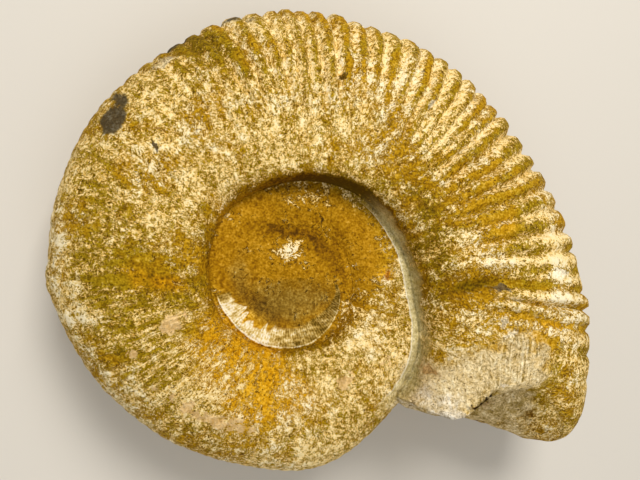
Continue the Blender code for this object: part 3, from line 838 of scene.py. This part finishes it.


# ---- the stone ---------------------------------------------------------------------------------
# Fine limestone, stained by iron: ochre and olive where it is smooth, flecked with cream lime
# where the skin is worn, grey-white where it is broken, and black with crust in one place.
# Shade is painted darker on the navel wall, in hollows and creases, and a highlight on the mouth's
# edge.

# Zones of the upper flank: x, y, half length, half width, heading, strength. Lengths are mm here,
# as in the material.
ZONES = {
    "stain": (
        (-66.0, -2.0, 20.0, 8.0, 170.0, 0.6),
        (-26.0, -44.0, 30.0, 21.0, 125.0, 1.25),
        (-2.0, -56.0, 18.0, 9.0, 0.0, 0.6),
        (104.0, 23.0, 14.0, 10.0, 60.0, 0.45),
        (46.0, 1.0, 5.0, 4.0, 0.0, 0.9),
        (-40.0, 36.0, 12.0, 6.0, 130.0, 0.6),
        (124.0, -26.0, 14.0, 5.0, 0.0, 0.7),
    ),
    # Dark brown: iron stain in places, and painted shade where shadow falls, in hollows and creases,
    # round the navel and under the lip.
    "umber_and_shade": (
        (-46.0, 113.0, 26.0, 11.0, 150.0, 0.9),
        (-66.0, -2.0, 20.0, 9.0, 170.0, 0.9),
        (68.0, 8.0, 34.0, 7.0, 100.0, 0.8),
        (56.0, 40.0, 16.0, 7.0, 120.0, 0.7),
        (85.0, -5.0, 13.0, 3.2, 14.0, 1.9),
        (-42.0, 10.0, 28.0, 4.0, 95.0, 0.5),
        (-17.0, -14.0, 18.0, 4.0, -42.0, 1.2),
        (44.0, 38.0, 12.0, 4.0, 125.0, 0.6),
        (23.0, 8.0, 17.0, 3.5, 97.0, 0.7),
        (-6.0, 23.0, 14.0, 3.0, -10.0, 1.8),
        (13.0, 15.0, 12.0, 3.0, -50.0, 1.8),
        (88.0, -61.0, 9.0, 3.0, 13.0, 0.9),
        (116.0, -64.0, 18.0, 9.0, -10.0, 0.7),
        (-22.0, -41.0, 26.0, 2.4, 145.0, 0.5),
        (18.0, -36.0, 16.0, 2.4, 50.0, 0.5),
    ),
    "cream": (
        (-24.0, 78.0, 46.0, 30.0, 20.0, 0.5),
        (20.0, 88.0, 44.0, 26.0, 170.0, 0.5),
        (66.0, 84.0, 40.0, 24.0, 140.0, 0.7),
        (-66.0, 56.0, 30.0, 24.0, 130.0, 0.7),
        (34.0, -28.0, 22.0, 12.0, 110.0, 1.6),
        (38.0, 12.0, 10.0, 8.0, 110.0, 0.9),
        (20.0, -64.0, 34.0, 12.0, 10.0, 0.8),
        (99.0, 6.5, 20.0, 4.0, 6.0, 1.8),
        (86.0, 14.0, 14.0, 7.0, -30.0, 1.4),
        (120.0, -12.0, 24.0, 2.8, -2.0, 1.2),
        (-52.0, -58.0, 26.0, 12.0, -30.0, 0.6),
        (-26.0, 128.0, 9.0, 6.0, 0.0, 0.8),
        (136.0, 4.0, 9.0, 40.0, 6.0, 2.6),
        (70.0, -52.0, 16.0, 12.0, 0.0, 1.0),
        (84.0, -24.0, 20.0, 12.0, 0.0, 1.0),
        (-112.0, 8.0, 10.0, 44.0, 8.0, 1.8),
        (-8.0, -94.0, 60.0, 12.0, 4.0, 1.2),
        (-86.0, -58.0, 34.0, 10.0, -46.0, 1.0),
        (-2.0, 13.0, 8.0, 5.5, 0.0, 2.9),
        (-100.0, -20.0, 10.0, 14.0, 90.0, 0.5),
        (12.0, 40.0, 10.0, 5.0, 140.0, 0.5),
        (50.0, 30.0, 10.0, 5.0, 120.0, 0.6),
    ),
    "bare": (
        (-96.0, 14.0, 26.0, 18.0, 95.0, 0.8),
        (-80.0, -30.0, 30.0, 18.0, -50.0, 0.45),
        (-66.0, -2.0, 20.0, 11.0, 170.0, 1.1),
        (-24.0, -46.0, 24.0, 15.0, 110.0, 0.95),
        (104.0, 25.0, 18.0, 13.0, 60.0, 1.3),
        (94.0, 42.0, 18.0, 9.0, 60.0, 0.7),
        (-46.0, 112.0, 22.0, 10.0, 150.0, 0.5),
        (112.0, -3.0, 28.0, 3.0, 0.0, 2.0),
        (124.0, -18.5, 22.0, 1.6, -4.0, 1.6),
    ),
    "fresh": (
        (66.0, -56.0, 17.0, 16.0, 0.0, 0.9),
        (110.0, -46.0, 18.0, 20.0, 0.0, 0.9),
        (86.0, -44.0, 14.0, 14.0, 90.0, 0.45),
    ),
    "taupe": (
        (-6.0, -14.0, 20.0, 11.0, 0.0, 0.95),
        (-26.0, 2.0, 7.0, 11.0, 0.0, 0.5),
        (14.0, -9.0, 9.0, 9.0, 0.0, 0.4),
    ),
    "striae": ((106.0, -42.0, 13.0, 17.0, 0.0, 1.5),),
    "streaked": (
        (10.0, 96.0, 60.0, 26.0, 176.0, 0.6),
        (-66.0, -40.0, 34.0, 26.0, -40.0, 1.2),
        (-94.0, 10.0, 20.0, 40.0, 10.0, 0.6),
        (-66.0, 60.0, 30.0, 26.0, 130.0, 0.4),
        (70.0, 66.0, 34.0, 22.0, 130.0, 0.4),
        (84.0, -34.0, 16.0, 20.0, 0.0, 0.5),
    ),
    "pale": (
        (66.0, -58.0, 14.0, 9.0, -20.0, 0.65),
        (74.0, -67.0, 13.0, 3.0, -6.0, 0.9),
        # A painted highlight on the rounded edge of the mouth:
        (101.0, -54.0, 4.0, 1.6, -8.0, 0.8),
    ),
    "plaster": (
        (-57.0, -22.0, 8.0, 4.0, 60.0, 0.75),
        (-76.0, -36.0, 4.0, 2.5, 20.0, 0.7),
        (-51.0, -60.0, 18.0, 4.0, -30.0, 0.6),
        (-28.0, -70.0, 12.0, 4.0, -10.0, 0.5),
        (24.0, -50.0, 12.0, 5.0, 30.0, 0.5),
        (44.0, -42.0, 6.0, 4.0, 60.0, 0.6),
    ),
    "crust": (
        (-87.0, 73.0, 7.5, 6.5, 70.0, 1.1),
        (-85.0, 86.0, 8.0, 5.0, 150.0, 0.6),
        (-28.0, 131.0, 16.0, 4.0, 0.0, 0.5),
        (-60.0, 117.0, 16.0, 4.0, 40.0, 0.6),
    ),
}
LOWER_TURN = 140.0             # the lower flank's zones are turned by this against the upper's
LOWER_FADE = 0.7               # and are this strong against them
# How strongly the lime, partly a painted highlight of the ribs' lit slopes, is bound to them, by age.
LIME_KEPT = ((0.0, 10.0, 30.0, 84.0, 105.0, 130.0, 170.0), (0.3, 1.1, 1.0, 1.0, 0.8, 0.4, 0.05))
# The navel wall has painted shade, darkest toward its foot, between these shares of the whorl's
# height.
WALL_SHADE = (0.085, 0.015)
WALL_POWER = 1.6               # the dark part is narrower where the shoulder is sharp
WALL_LEAST = 0.25              # and is this weak where it isn't
WALL_START = (26.0 * MM, 34.0 * MM)       # it starts clear of the filled middle
NAVEL_MIDDLE = (1.0 * MM, 7.0 * MM)       # the stone is brown round here
NAVEL_REACH = (50.0 * MM, 36.0 * MM)
LEAST_RADIUS = 5.0             # mm: the streaks run evenly inside this

# Small marks of the upper flank: x, y, half length, half width, heading, colour, strength.
CRACK = "#3F2A08"
WHITE = "#F8EAC8"
MARKS = (
    (14.0, 27.5, 3.4, 0.5, 92.0, CRACK, 0.9),            # cracks
    (21.0, 97.0, 2.8, 0.5, 40.0, CRACK, 0.8),
    (-67.0, 60.0, 3.4, 0.6, 118.0, CRACK, 0.9),
    (-65.0, 67.0, 4.6, 0.7, 168.0, "#8A5A16", 0.8),
    (58.0, -51.0, 3.4, 0.6, 78.0, CRACK, 0.8),            # a slit beside the seam
    (112.0, 13.5, 0.8, 0.6, 0.0, CRACK, 0.9),             # pits
    (65.0, 105.0, 1.3, 1.0, 0.0, CRACK, 0.8),
    (100.0, 27.0, 1.6, 0.5, 130.0, CRACK, 0.6),
    (99.0, -6.0, 5.6, 1.3, 2.0, "#6C604A", 0.8),          # a grey smear
    (135.0, 2.0, 5.6, 2.4, 4.0, WHITE, 0.9),              # white lime
    (-65.0, 104.0, 6.5, 3.0, 36.0, WHITE, 0.6),
    (66.0, 85.0, 3.0, 1.2, 45.0, WHITE, 0.6),
    (103.0, -28.0, 4.2, 1.8, 10.0, WHITE, 0.65),
    (99.0, -22.0, 3.4, 1.3, 60.0, WHITE, 0.6),
    # Painted shade: the dark crevice over the hollow, and the orange-brown hollow under the lip.
    (88.0, -59.5, 9.5, 1.3, 14.0, "#3E2804", 1.0),       # the crevice over the hollow
    (94.0, -63.0, 9.0, 2.6, 13.0, "#96661C", 0.8),
    (-10.0, 67.0, 0.9, 0.8, 0.0, WHITE, 0.9),
    (-26.0, 56.0, 0.9, 0.8, 0.0, WHITE, 0.9),
    (65.0, -46.0, 1.6, 2.6, 20.0, "#9C6C20", 0.7),        # rust
    (46.0, 1.0, 2.2, 1.6, 100.0, "#A9561A", 0.6),
)


def zone(name, shell, side):
    """Strength of a zone at each point."""
    x, y = shell[:, 0], shell[:, 1]
    turn = np.radians(LOWER_TURN)
    upper = patches(x, y, ZONES[name])
    lower = patches(
        x * np.cos(turn) - y * np.sin(turn), x * np.sin(turn) + y * np.cos(turn), ZONES[name],
    )
    return np.maximum(np.where(side > 0, upper, LOWER_FADE * lower), 0.0)


def linear(colour):
    """The linear colour of an sRGB hex value."""
    parts = [int(colour[i:i + 2], 16) / 255.0 for i in (1, 3, 5)]
    return (*[p / 12.92 if p <= 0.04045 else ((p + 0.055) / 1.055) ** 2.4 for p in parts], 1.0)


# Tones of each kind of stone, from the darkest to the lightest.
SKIN = ("#603E00", "#946A00", "#BE9010", "#E2B444", "#FADF94")
OLIVE_SKIN = ("#523C00", "#846600", "#AC8C12", "#D4B24C", "#F5DE94")
STAINED = ("#6E4400", "#A87000", "#CE9406", "#ECB630", "#FBDC80")
NAVEL = ("#4E2E00", "#7C5000", "#A07000", "#C08C18", "#E8C064")
TAUPE = ("#42300A", "#6C5014", "#8C6C22", "#B09040", "#DCC484")
LIME = ("#6C4800", "#B07E1C", "#DAAE50", "#F2CE80", "#FDE6AC")
CHALK = ("#74540C", "#B68E38", "#DEBE74", "#F2DCA2", "#FBEECC")
PLASTER = ("#94661E", "#CA984A", "#E2B876", "#F0CE94", "#FBE6BC")
BROKEN = ("#6A5218", "#A88E4C", "#D0B47C", "#ECD39E", "#FBEABC")
PALE = ("#6E6048", "#A8987C", "#D0C0A2", "#EADCC2", "#FBF2E2")
CLAY = ("#7E6C30", "#AE9A58", "#CDBB80", "#E2D29C", "#F6ECC8")
COAT = ("#5A4408", "#8C6E28", "#BC9C52", "#E2CA8C", "#FAEED0")
CLAY_RIM = "#F6EBCB"
CRUST = "#40382A"
PINHOLE = "#523400"

# How much each zone lightens the stone or darkens it, as a share of the whole scale of tones.
# The wall's tone is painted shade, the dark umber's partly so, and the ribs' lime's partly a painted
# highlight.
TONES = {
    "cream": 0.06, "bare": -0.02, "stain": 0.14, "umber_and_shade": -0.24, "wall": -0.36, "lime": 0.04,
    "inner": 0.05, "taupe": -0.03, "fresh": 0.26, "torn": 0.06, "pale": 0.15,
}
MIDDLE_TONE = 0.47
# How much lime lies on the stone, and how much more or less of it in each zone.
LIME_COVER = 0.445
# Less lime on the navel wall keeps its painted shade dark.
LIME_GAINS = {
    "cream": 0.09, "bare": -0.10, "lime": 0.15, "umber_and_shade": -0.05, "wall": -0.12, "inner": -0.18,
}
# Where each kind of surface takes over from the one under it: the strength at which it begins and
# is whole, the most that it covers, and how ragged its edge is.
SPREADS = {
    "olive": (-0.10, 0.12, 1.0, 0.5),
    "inner": (0.0, 1.0, 0.9, 0.0),
    "taupe": (0.1, 0.9, 0.9, 1.0),
    "stain": (0.2, 0.8, 1.0, 1.2),
    "chalk": (0.0, 0.22, 0.9, 0.8),
    "flaked": (0.43, 0.58, 0.9, 1.2),
    "broken": (0.25, 0.65, 0.95, 1.2),
    "pale": (0.3, 0.8, 0.75, 1.4),
    "crust": (0.35, 0.6, 0.9, 1.0),
}

# Sizes of the patterns in mm. Where there are three, the first runs across the second, and the
# third is how far the pattern runs into the stone.
BROAD_SIZE = 34.0
PATCH_SIZE = 8.0
BAND_SIZES = (6.0, 34.0, 34.0)        # smears that run across the whorl
STREAK_SIZES = (1.6, 13.0, 10.0)
LIRA_SIZES = (1.1, 22.0, 10.0)        # the fine spiral lines on the broken flank
TOOTH_SIZES = (15.0, 70.0, 10.0)      # gaps in the lime on the dish's slope
FLECK_SIZE = 2.3               # of the patches of lime
CRUMPLE_SIZE = 6.0             # of the steps of the broken face
FLAKE_SIZE = 5.0               # of the flakes that the plaster-like lime came off in
PINHOLE_SIZE = 1.3
WARP_SIZE = 6.0                # the edges of the marks and of the flecks waver
WARP_REACH = 8.0               # by up to about half of this
# The grain of the stone: size, and share of the tones. Real grit is finer and wouldn't show.
GRAINS = ((1.0, 0.62), (2.0, 0.40), (4.0, 0.28))
GRAIN_DETAIL = 0.5
# Fine lines of lime: width and length of a cell, width of the line as a share, and its depth.
WEBS = ((2.4, 4.2, 0.055, 0.17), (1.4, 2.2, 0.075, 0.14))
WEB_GAP = 0.08                 # bare lines run this far beside them
FLECK_DEPTH = 1.35             # how deep the patches of lime are against the lines
LIME_SOFTNESS = 0.025          # the lime thins out over this much of its depth
LIME_MOST = 0.92               # even thick lime hides no more of the stone than this
LIME_TONE = 1.8                # how much lighter deep lime is
EDGE_LINE = (-0.06, 0.055)     # place and half width of the dark line beside the lime, in its depth
EDGE_TONE = 0.65               # how much darker that line is
PINHOLE_RANGE = (0.665, 0.73)
CROSS_RIDGES = 160             # round a full turn of the dish's slope
FLOW_RADIUS = 110.0            # an angle round the coil is a length at this radius, for the streaks
MARK_HEIGHTS = (18.0, 27.0)    # the marks fade in between these heights over the coil plane
BUMP_STRENGTH = 0.7
STONE_ROUGHNESS = 0.85
STONE_SHINE = 0.1


def weighed(tree, total, *parts):
    """A total with parts added to it, each a value and its weight."""
    for value, weight in parts:
        total = add(tree, "MULTIPLY_ADD", value, weight, total)
    return total


def thin_line(tree, value, centre, half_width):
    """1 where a value passes a level, and 0 a little off it."""
    off = add(tree, "ABSOLUTE", add(tree, "SUBTRACT", value, centre))
    return add(tree, RANGE, off, half_width, 0.0, **SMOOTH)


def drawn_out(tree, place, sizes, detail, roughness):
    """A noise with cells of these sizes, along the three ways of a place."""
    cells = add(tree, VECTOR_MATH, place, [1.0 / size for size in sizes], operation="MULTIPLY")
    return add(tree, NOISE, cells, 1.0, detail, roughness)


def toned(tree, tone, tints):
    """The tint of a tone between 0 and 1, over evenly spread stops."""
    colour = add(tree, "ShaderNodeValToRGB", tone)
    stops = colour.node.color_ramp.elements
    for i in range(1, len(tints) - 1):
        stops.new(i / (len(tints) - 1))
    for stop, tint in zip(stops, tints):
        stop.color = linear(tint)
    return colour


def dress_limestone(material):
    """Weathered limestone: matt, gritty, and mottled wherever stain or lime has settled on it."""
    tree = material.node_tree
    tree.nodes.clear()
    shell = add(tree, "ShaderNodeAttribute", output="Vector", attribute_name="shell")
    flow = add(tree, "ShaderNodeAttribute", output="Vector", attribute_name="flow")
    at = {
        name: add(tree, "ShaderNodeAttribute", output="Fac", attribute_name=name)
        for name in (*ZONES, "lime", "wall", "dish", "coat", "seam", "clay", "inner", "torn")
    }

    # Places that waver, swathes and patches of either sign, and smears across the whorl.
    warp = add(tree, NOISE, shell, 1.0 / WARP_SIZE, 4.0, output="Color")
    warp = add(tree, VECTOR_MATH, warp, (0.5, 0.5, 0.5), operation="SUBTRACT")
    warp = add(tree, VECTOR_MATH, warp, inputs={"Scale": WARP_REACH}, operation="SCALE")
    place = add(tree, VECTOR_MATH, shell, warp, operation="ADD")
    stroke = add(tree, VECTOR_MATH, flow, warp, operation="ADD")
    patch = add(tree, NOISE, shell, 1.0 / PATCH_SIZE, 4.0, 0.6)
    shift = add(tree, "SUBTRACT", patch, 0.5)
    broad = add(tree, "SUBTRACT", add(tree, NOISE, shell, 1.0 / BROAD_SIZE, 2.0, 0.5), 0.5)
    band = add(tree, "SUBTRACT", drawn_out(tree, stroke, BAND_SIZES, 3.0, 0.6), 0.5)
    band = add(tree, "MULTIPLY", band, weighed(tree, 1.0, (at["inner"], -0.7)))

    # How much lime there is: more in some zones and beside the ribs.
    cover = weighed(tree, LIME_COVER, *[(at[name], gain) for name, gain in LIME_GAINS.items()])
    cover = weighed(tree, cover, (shift, 0.42), (band, 0.42), (broad, 0.40))

    # The grain of the stone, and how light the stone is.
    rough = weighed(tree, MIDDLE_TONE, (shift, 0.25), (band, 0.30))
    for size, weight in GRAINS:
        grain = add(tree, NOISE, shell, 1.0 / size, GRAIN_DETAIL, 0.5)
        rough = weighed(tree, rough, (add(tree, "SUBTRACT", grain, 0.5), weight))
    body = weighed(tree, rough, *[(at[name], weight) for name, weight in TONES.items()])

    # How deep the lime lies: in flecks, and in fine lines that run mostly across the whorl.
    streak = drawn_out(tree, flow, STREAK_SIZES, 2.0, 0.6)
    streaked = add(tree, "MULTIPLY", at["streaked"], 0.7)
    fleck = add(tree, NOISE, place, 1.0 / FLECK_SIZE, 5.0, 0.7)
    fleck = add(tree, "SUBTRACT", add(tree, MIX, streaked, fleck, streak), 0.5)
    lime = weighed(tree, add(tree, "SUBTRACT", cover, 0.5), (fleck, FLECK_DEPTH))
    much = add(tree, RANGE, cover, 0.26, 0.46, **SMOOTH)
    for across, length, width, depth in WEBS:
        crossing = drawn_out(tree, stroke, (across, length, length), 2.0, 0.55)
        even = add(tree, NOISE, place, 1.0 / length, 2.0, 0.55)
        cell = add(tree, MIX, at["inner"], crossing, even)
        web = add(tree, "MULTIPLY", thin_line(tree, cell, 0.5, width), much)
        gap = thin_line(tree, cell, 0.5 - WEB_GAP, width)
        lime = weighed(tree, lime, (web, depth), (gap, -depth))
    limed = add(tree, RANGE, lime, -LIME_SOFTNESS, LIME_SOFTNESS, 0.0, LIME_MOST, **SMOOTH)

    # A dark line runs beside the lime, and another under the seam. The torn stone is stepped, and
    # all of it is pricked with small holes.
    edge = thin_line(tree, lime, *EDGE_LINE)
    step = add(tree, NOISE, place, 1.0 / CRUMPLE_SIZE, 3.0, 0.6)
    step = add(tree, "MULTIPLY", thin_line(tree, step, 0.5, 0.06), at["torn"])
    uneven = add(tree, "MULTIPLY", shift, at["torn"])
    slope = weighed(tree, at["dish"], (shift, 0.12))
    under = add(tree, "MULTIPLY", thin_line(tree, slope, -0.08, 0.10), at["coat"])
    tone = weighed(tree, body, (edge, -EDGE_TONE), (uneven, 1.6), (step, -0.30), (under, -0.25))
    hole = add(tree, NOISE, shell, 1.0 / PINHOLE_SIZE, 1.0, 0.5)
    hole = add(tree, RANGE, hole, *PINHOLE_RANGE, 0.0, 0.3, **SMOOTH)
    hole = add(tree, "MULTIPLY", hole, weighed(tree, 1.0, (at["inner"], -0.85)))
    tone = add(tree, "SUBTRACT", tone, hole, use_clamp=True)

    # Where each kind of surface takes over. Thick lime is chalky, or has come off in flakes.
    at["olive"] = weighed(tree, broad, (at["streaked"], 0.10), (at["umber_and_shade"], 0.15))
    at["chalk"] = weighed(tree, add(tree, "MULTIPLY", broad, -0.8), (at["cream"], 0.06))
    flake = add(tree, "ShaderNodeTexVoronoi", place, 1.0 / FLAKE_SIZE, output="Color")
    flake = add(tree, "SUBTRACT", add(tree, "ShaderNodeSeparateXYZ", flake), 0.5)
    at["flaked"] = weighed(tree, at["plaster"], (flake, 0.5))
    at["broken"] = weighed(tree, at["fresh"], (at["torn"], 0.45))
    over = {}
    for name, (low, high, most, ragged) in SPREADS.items():
        reach = weighed(tree, at[name], (shift, ragged))
        over[name] = add(tree, RANGE, reach, low, high, 0.0, most, **SMOOTH)

    # The skin is brown in the navel and stained orange in places. The lime is lightest where it is
    # deep, and broken stone shows fine spiral lines where the outermost layer came off.
    coats = [
        (over["olive"], toned(tree, tone, OLIVE_SKIN)),
        (over["inner"], toned(tree, tone, NAVEL)),
        (over["taupe"], toned(tree, tone, TAUPE)),
        (over["stain"], toned(tree, tone, STAINED)),
    ]
    depth = weighed(tree, 0.0, (body, 0.9), (lime, LIME_TONE))
    chalk = [over["chalk"], toned(tree, depth, LIME), toned(tree, depth, CHALK)]
    coats.append((limed, add(tree, MIX, *chalk, data_type="RGBA")))
    coats.append((over["flaked"], toned(tree, weighed(tree, 0.22, (rough, 0.7)), PLASTER)))
    lira = add(tree, "SUBTRACT", drawn_out(tree, shell, LIRA_SIZES, 1.0, 0.5), 0.5)
    lined = add(tree, "MULTIPLY", lira, at["striae"])
    bare = weighed(tree, 0.07, (tone, 0.7), (rough, 0.3), (lined, 1.5))
    coats.append((over["broken"], toned(tree, bare, BROKEN)))
    coats.append((over["pale"], toned(tree, tone, PALE)))

    # The lime on the slope of the dish, cross-ridged and gapped, with a light line along its top.
    turn = add(tree, "ShaderNodeSeparateXYZ", flow)
    turn = add(tree, "MULTIPLY", turn, CROSS_RIDGES / FLOW_RADIUS)
    cross = add(tree, "SINE", weighed(tree, turn, (patch, 9.0)))
    gaps = add(tree, "SUBTRACT", drawn_out(tree, flow, TOOTH_SIZES, 1.0, 0.5), 0.5)
    whole = add(tree, RANGE, at["coat"], 0.75, 0.95, 0.0, 3.0, **SMOOTH)
    gaps = add(tree, "MULTIPLY", gaps, whole)
    foot = weighed(tree, add(tree, "ADD", at["dish"], gaps), (shift, 0.5))
    below_top = add(tree, RANGE, slope, -0.02, 0.04, **SMOOTH)
    above_foot = add(tree, RANGE, foot, 1.05, 0.85, **SMOOTH)
    kept = add(tree, RANGE, at["coat"], 0.0, 0.3, 0.0, 0.95, **SMOOTH)
    coated = add(tree, "MULTIPLY", add(tree, "MULTIPLY", below_top, above_foot), kept)
    thin = add(tree, "SUBTRACT", at["coat"], 0.62)
    coat = weighed(tree, rough, (cross, 0.09), (thin, 1.0), (shift, 1.0))
    coat = weighed(tree, coat, (thin_line(tree, slope, 0.06, 0.07), 0.45))
    coats.append((coated, toned(tree, coat, COAT)))

    # The strip of clay in the seam, with a light line where it ends on the whorl inside.
    off = weighed(tree, at["seam"], (shift, 0.7))
    inner_side = add(tree, RANGE, off, -1.05, -0.85, **SMOOTH)
    outer_side = weighed(tree, at["seam"], (shift, 1.6))
    outer_side = add(tree, RANGE, outer_side, 0.5, -0.1, **SMOOTH)
    strip = add(tree, "MULTIPLY", add(tree, "MULTIPLY", inner_side, outer_side), at["clay"])
    coats.append((strip, toned(tree, weighed(tree, rough, (off, -0.25)), CLAY)))
    rim = add(tree, "MULTIPLY", thin_line(tree, off, -0.95, 0.14), at["clay"])
    coats.append((rim, linear(CLAY_RIM)))

    # Small marks, on the upper flank only, then the crust and the small holes.
    upper = add(tree, "ShaderNodeSeparateXYZ", shell, output="Z")
    upper = add(tree, RANGE, upper, *MARK_HEIGHTS)
    gritty = weighed(tree, 0.35, (tone, 1.1))
    for x, y, half_length, half_width, heading, tint, strength in MARKS:
        spot = add(tree, "ShaderNodeMapping", place, inputs={
            "Location": (x, y, 0.0),
            "Rotation": (0.0, 0.0, np.radians(heading)),
            "Scale": (half_length, half_width, 1.0e4),
        }, vector_type="TEXTURE")
        reach = add(tree, VECTOR_MATH, spot, operation="LENGTH")
        reach = weighed(tree, add(tree, "ADD", reach, 0.75), (rough, -1.5))
        reach = add(tree, RANGE, reach, 1.25, 0.75, 0.0, strength, **SMOOTH)
        tint = add(tree, VECTOR_MATH, linear(tint)[:3], inputs={"Scale": gritty}, operation="SCALE")
        coats.append((add(tree, "MULTIPLY", reach, upper), tint))
    coats.append((over["crust"], linear(CRUST)))
    coats.append((add(tree, "MULTIPLY", hole, 2.0), linear(PINHOLE)))

    colour = toned(tree, tone, SKIN)
    for amount, tint in coats:
        colour = add(tree, MIX, amount, colour, tint, data_type="RGBA")
    ridged = add(tree, "MULTIPLY", cross, at["coat"])
    height = add(tree, "MULTIPLY", tone, 0.8)
    height = weighed(tree, height, (limed, 0.6), (lined, 0.8), (ridged, 0.15))
    bump = add(tree, "ShaderNodeBump", inputs={
        "Height": height, "Distance": MM, "Strength": BUMP_STRENGTH,
    })
    shader = add(tree, "ShaderNodeBsdfPrincipled", inputs={
        "Base Color": colour,
        "Roughness": STONE_ROUGHNESS,
        "Specular IOR Level": STONE_SHINE,
        "Normal": bump,
    })
    add(tree, "ShaderNodeOutputMaterial", shader)


# ---- the cast, laid down -----------------------------------------------------------------------
# The cast is one solid, heavy piece of limestone, fixed to nothing. It lies on its lower flank, on
# high spots that are worn flat.

REST_TILT = (-1.23, -3.30)     # turns about X and then Y, in degrees
REST_SHIFT = (-25.28 * MM, -22.85 * MM, 43.86 * MM)


def tilted(tilt):
    """A turn about X and then Y, given in degrees."""
    return Euler((np.radians(tilt[0]), np.radians(tilt[1]), 0.0)).to_matrix().to_4x4()


rest = Matrix.Translation(REST_SHIFT) @ tilted(REST_TILT)


def lay_down():
    """The finished mesh: weathered, marked with what the material reads, and laid down."""
    mesh = bpy.data.meshes.new("ammonite")
    mesh.from_pydata(points, [], net.faces)
    shell = np.array(points)
    age = np.array(ages)
    side = np.array(sides)
    share = np.array(shares)
    x, y = shell[:, 0], shell[:, 1]
    level = smoothstep(0.0, HOLLOW_FADE, np.abs(shell[:, 2]))
    sunk = level * np.where(side > 0, patches(x, y, UPPER_HOLLOWS), patches(x, y, LOWER_HOLLOWS))
    depth, places = navel(shell, side)
    fresh = zone("fresh", shell / MM, side)
    rim = np.abs(y - break_line(x, shell[:, 2]))
    worn = smoothstep(*WORN_X, x) * smoothstep(*WORN_REACH, rim)
    store(mesh, {
        "side": side,
        "sunk": sunk + depth,
        "fracture": np.maximum(np.array(broken), fresh),
        "worn": worn,
    })
    mesh = shaped(mesh, weather_tree(), WEATHER_SIZES, stone)

    radius = np.hypot(x, y)
    # The navel wall's painted shade: full under the sharp upper shoulder, where the key lamp's shadow
    # falls, and weak elsewhere.
    sharp = np.where(side > 0, swelling(age, (WALL_SHARP,)), 0.0)
    wall = smoothstep(*WALL_SHADE, share * (1.0 + sharp) ** WALL_POWER)
    wall *= WALL_LEAST + (1.0 - WALL_LEAST) * sharp
    store(mesh, {
        **{name: zone(name, shell / MM, side) for name in ZONES},
        "lime": np.array(limes) * np.interp(age, *LIME_KEPT),
        "wall": wall * smoothstep(*WALL_START, radius),
        **places,
        "torn": np.array(broken),
        "inner": smoothstep(*NAVEL_REACH, np.hypot(x - NAVEL_MIDDLE[0], y - NAVEL_MIDDLE[1])),
    })
    store(mesh, {
        "shell": shell / MM,
        "flow": np.stack([
            np.radians(age) * FLOW_RADIUS,
            np.log(np.maximum(radius / MM, LEAST_RADIUS) / FLOW_RADIUS) * FLOW_RADIUS,
            shell[:, 2] / MM,
        ], axis=-1),
    }, "FLOAT_VECTOR")
    turn = np.array(rest)
    laid = points_of(mesh) @ turn[:3, :3].T + turn[:3, 3]
    laid[:, 2] = np.maximum(laid[:, 2], 0.0)       # the flats that it lies on
    mesh.vertices.foreach_set("co", laid.astype(np.float32).ravel())
    mesh.shade_smooth()
    mesh.update()
    return mesh


stone.use_nodes = True
dress_limestone(stone)
cast = bpy.data.objects.new("fossil", lay_down())
bpy.context.scene.collection.objects.link(cast)
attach(cast, "root")
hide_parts("ammonite")


# ---- the floor, the light and the camera -------------------------------------------------------
# The cast is shown on a plain pale board. One large soft lamp stands past the coil's top edge, a
# weak one fills the shadow, and the camera looks almost straight down.

FLOOR_SIZE = 3.0
FLOOR_COLOUR = "#D5CFC4"
FLOOR_ROUGHNESS = 0.8
LIGHT_TARGET = (0.0, 0.0, 0.03)
WORLD_COLOUR = "#F7F5F0"
WORLD_STRENGTH = 0.36
CAMERA_PLACE = (-45.706 * MM, -7.043 * MM, 327.837 * MM)   # in the shell's frame, as is its tilt
CAMERA_TILT = (4.7, -11.0)     # against looking straight down
LENS = 34.875                  # mm
SENSOR = 36.0                  # mm
CLIP_START = 10.0 * MM

floor_mesh = bpy.data.meshes.new("floor")
half = FLOOR_SIZE / 2.0
corners = [(-half, -half, 0.0), (half, -half, 0.0), (half, half, 0.0), (-half, half, 0.0)]
floor_mesh.from_pydata(corners, [], [(0, 1, 2, 3)])
floor = bpy.data.objects.new("floor", floor_mesh)
bpy.context.scene.collection.objects.link(floor)
paper = bpy.data.materials.new("pale board")
paper.use_nodes = True
board = paper.node_tree.nodes["Principled BSDF"]
board.inputs["Base Color"].default_value = linear(FLOOR_COLOUR)
board.inputs["Roughness"].default_value = FLOOR_ROUGHNESS
floor_mesh.materials.append(paper)


def area_light(name, place, width, watts, colour):
    lamp = bpy.data.lights.new(name, "AREA")
    lamp.size = width
    lamp.energy = watts
    lamp.color = linear(colour)[:3]
    holder = bpy.data.objects.new(name, lamp)
    holder.location = place
    aim = Vector(LIGHT_TARGET) - Vector(place)
    holder.rotation_euler = aim.to_track_quat("-Z", "Y").to_euler()
    bpy.context.scene.collection.objects.link(holder)


area_light("key", (0.08, 0.74, 1.15), 0.6, 15.0, "#FFFCF8")
area_light("fill", (0.0, -0.9, 1.3), 1.2, 7.0, "#FFFFFF")

world = bpy.data.worlds.new("studio")
world.use_nodes = True
background = world.node_tree.nodes["Background"]
background.inputs["Color"].default_value = linear(WORLD_COLOUR)
background.inputs["Strength"].default_value = WORLD_STRENGTH
bpy.context.scene.world = world

lens = bpy.data.cameras.new("camera")
lens.lens = LENS
lens.sensor_width = SENSOR
lens.clip_start = CLIP_START
camera = bpy.data.objects.new("camera", lens)
camera.matrix_world = rest @ Matrix.Translation(CAMERA_PLACE) @ tilted(CAMERA_TILT)
bpy.context.scene.collection.objects.link(camera)
bpy.context.scene.camera = camera
bpy.context.scene.view_settings.view_transform = "Standard"
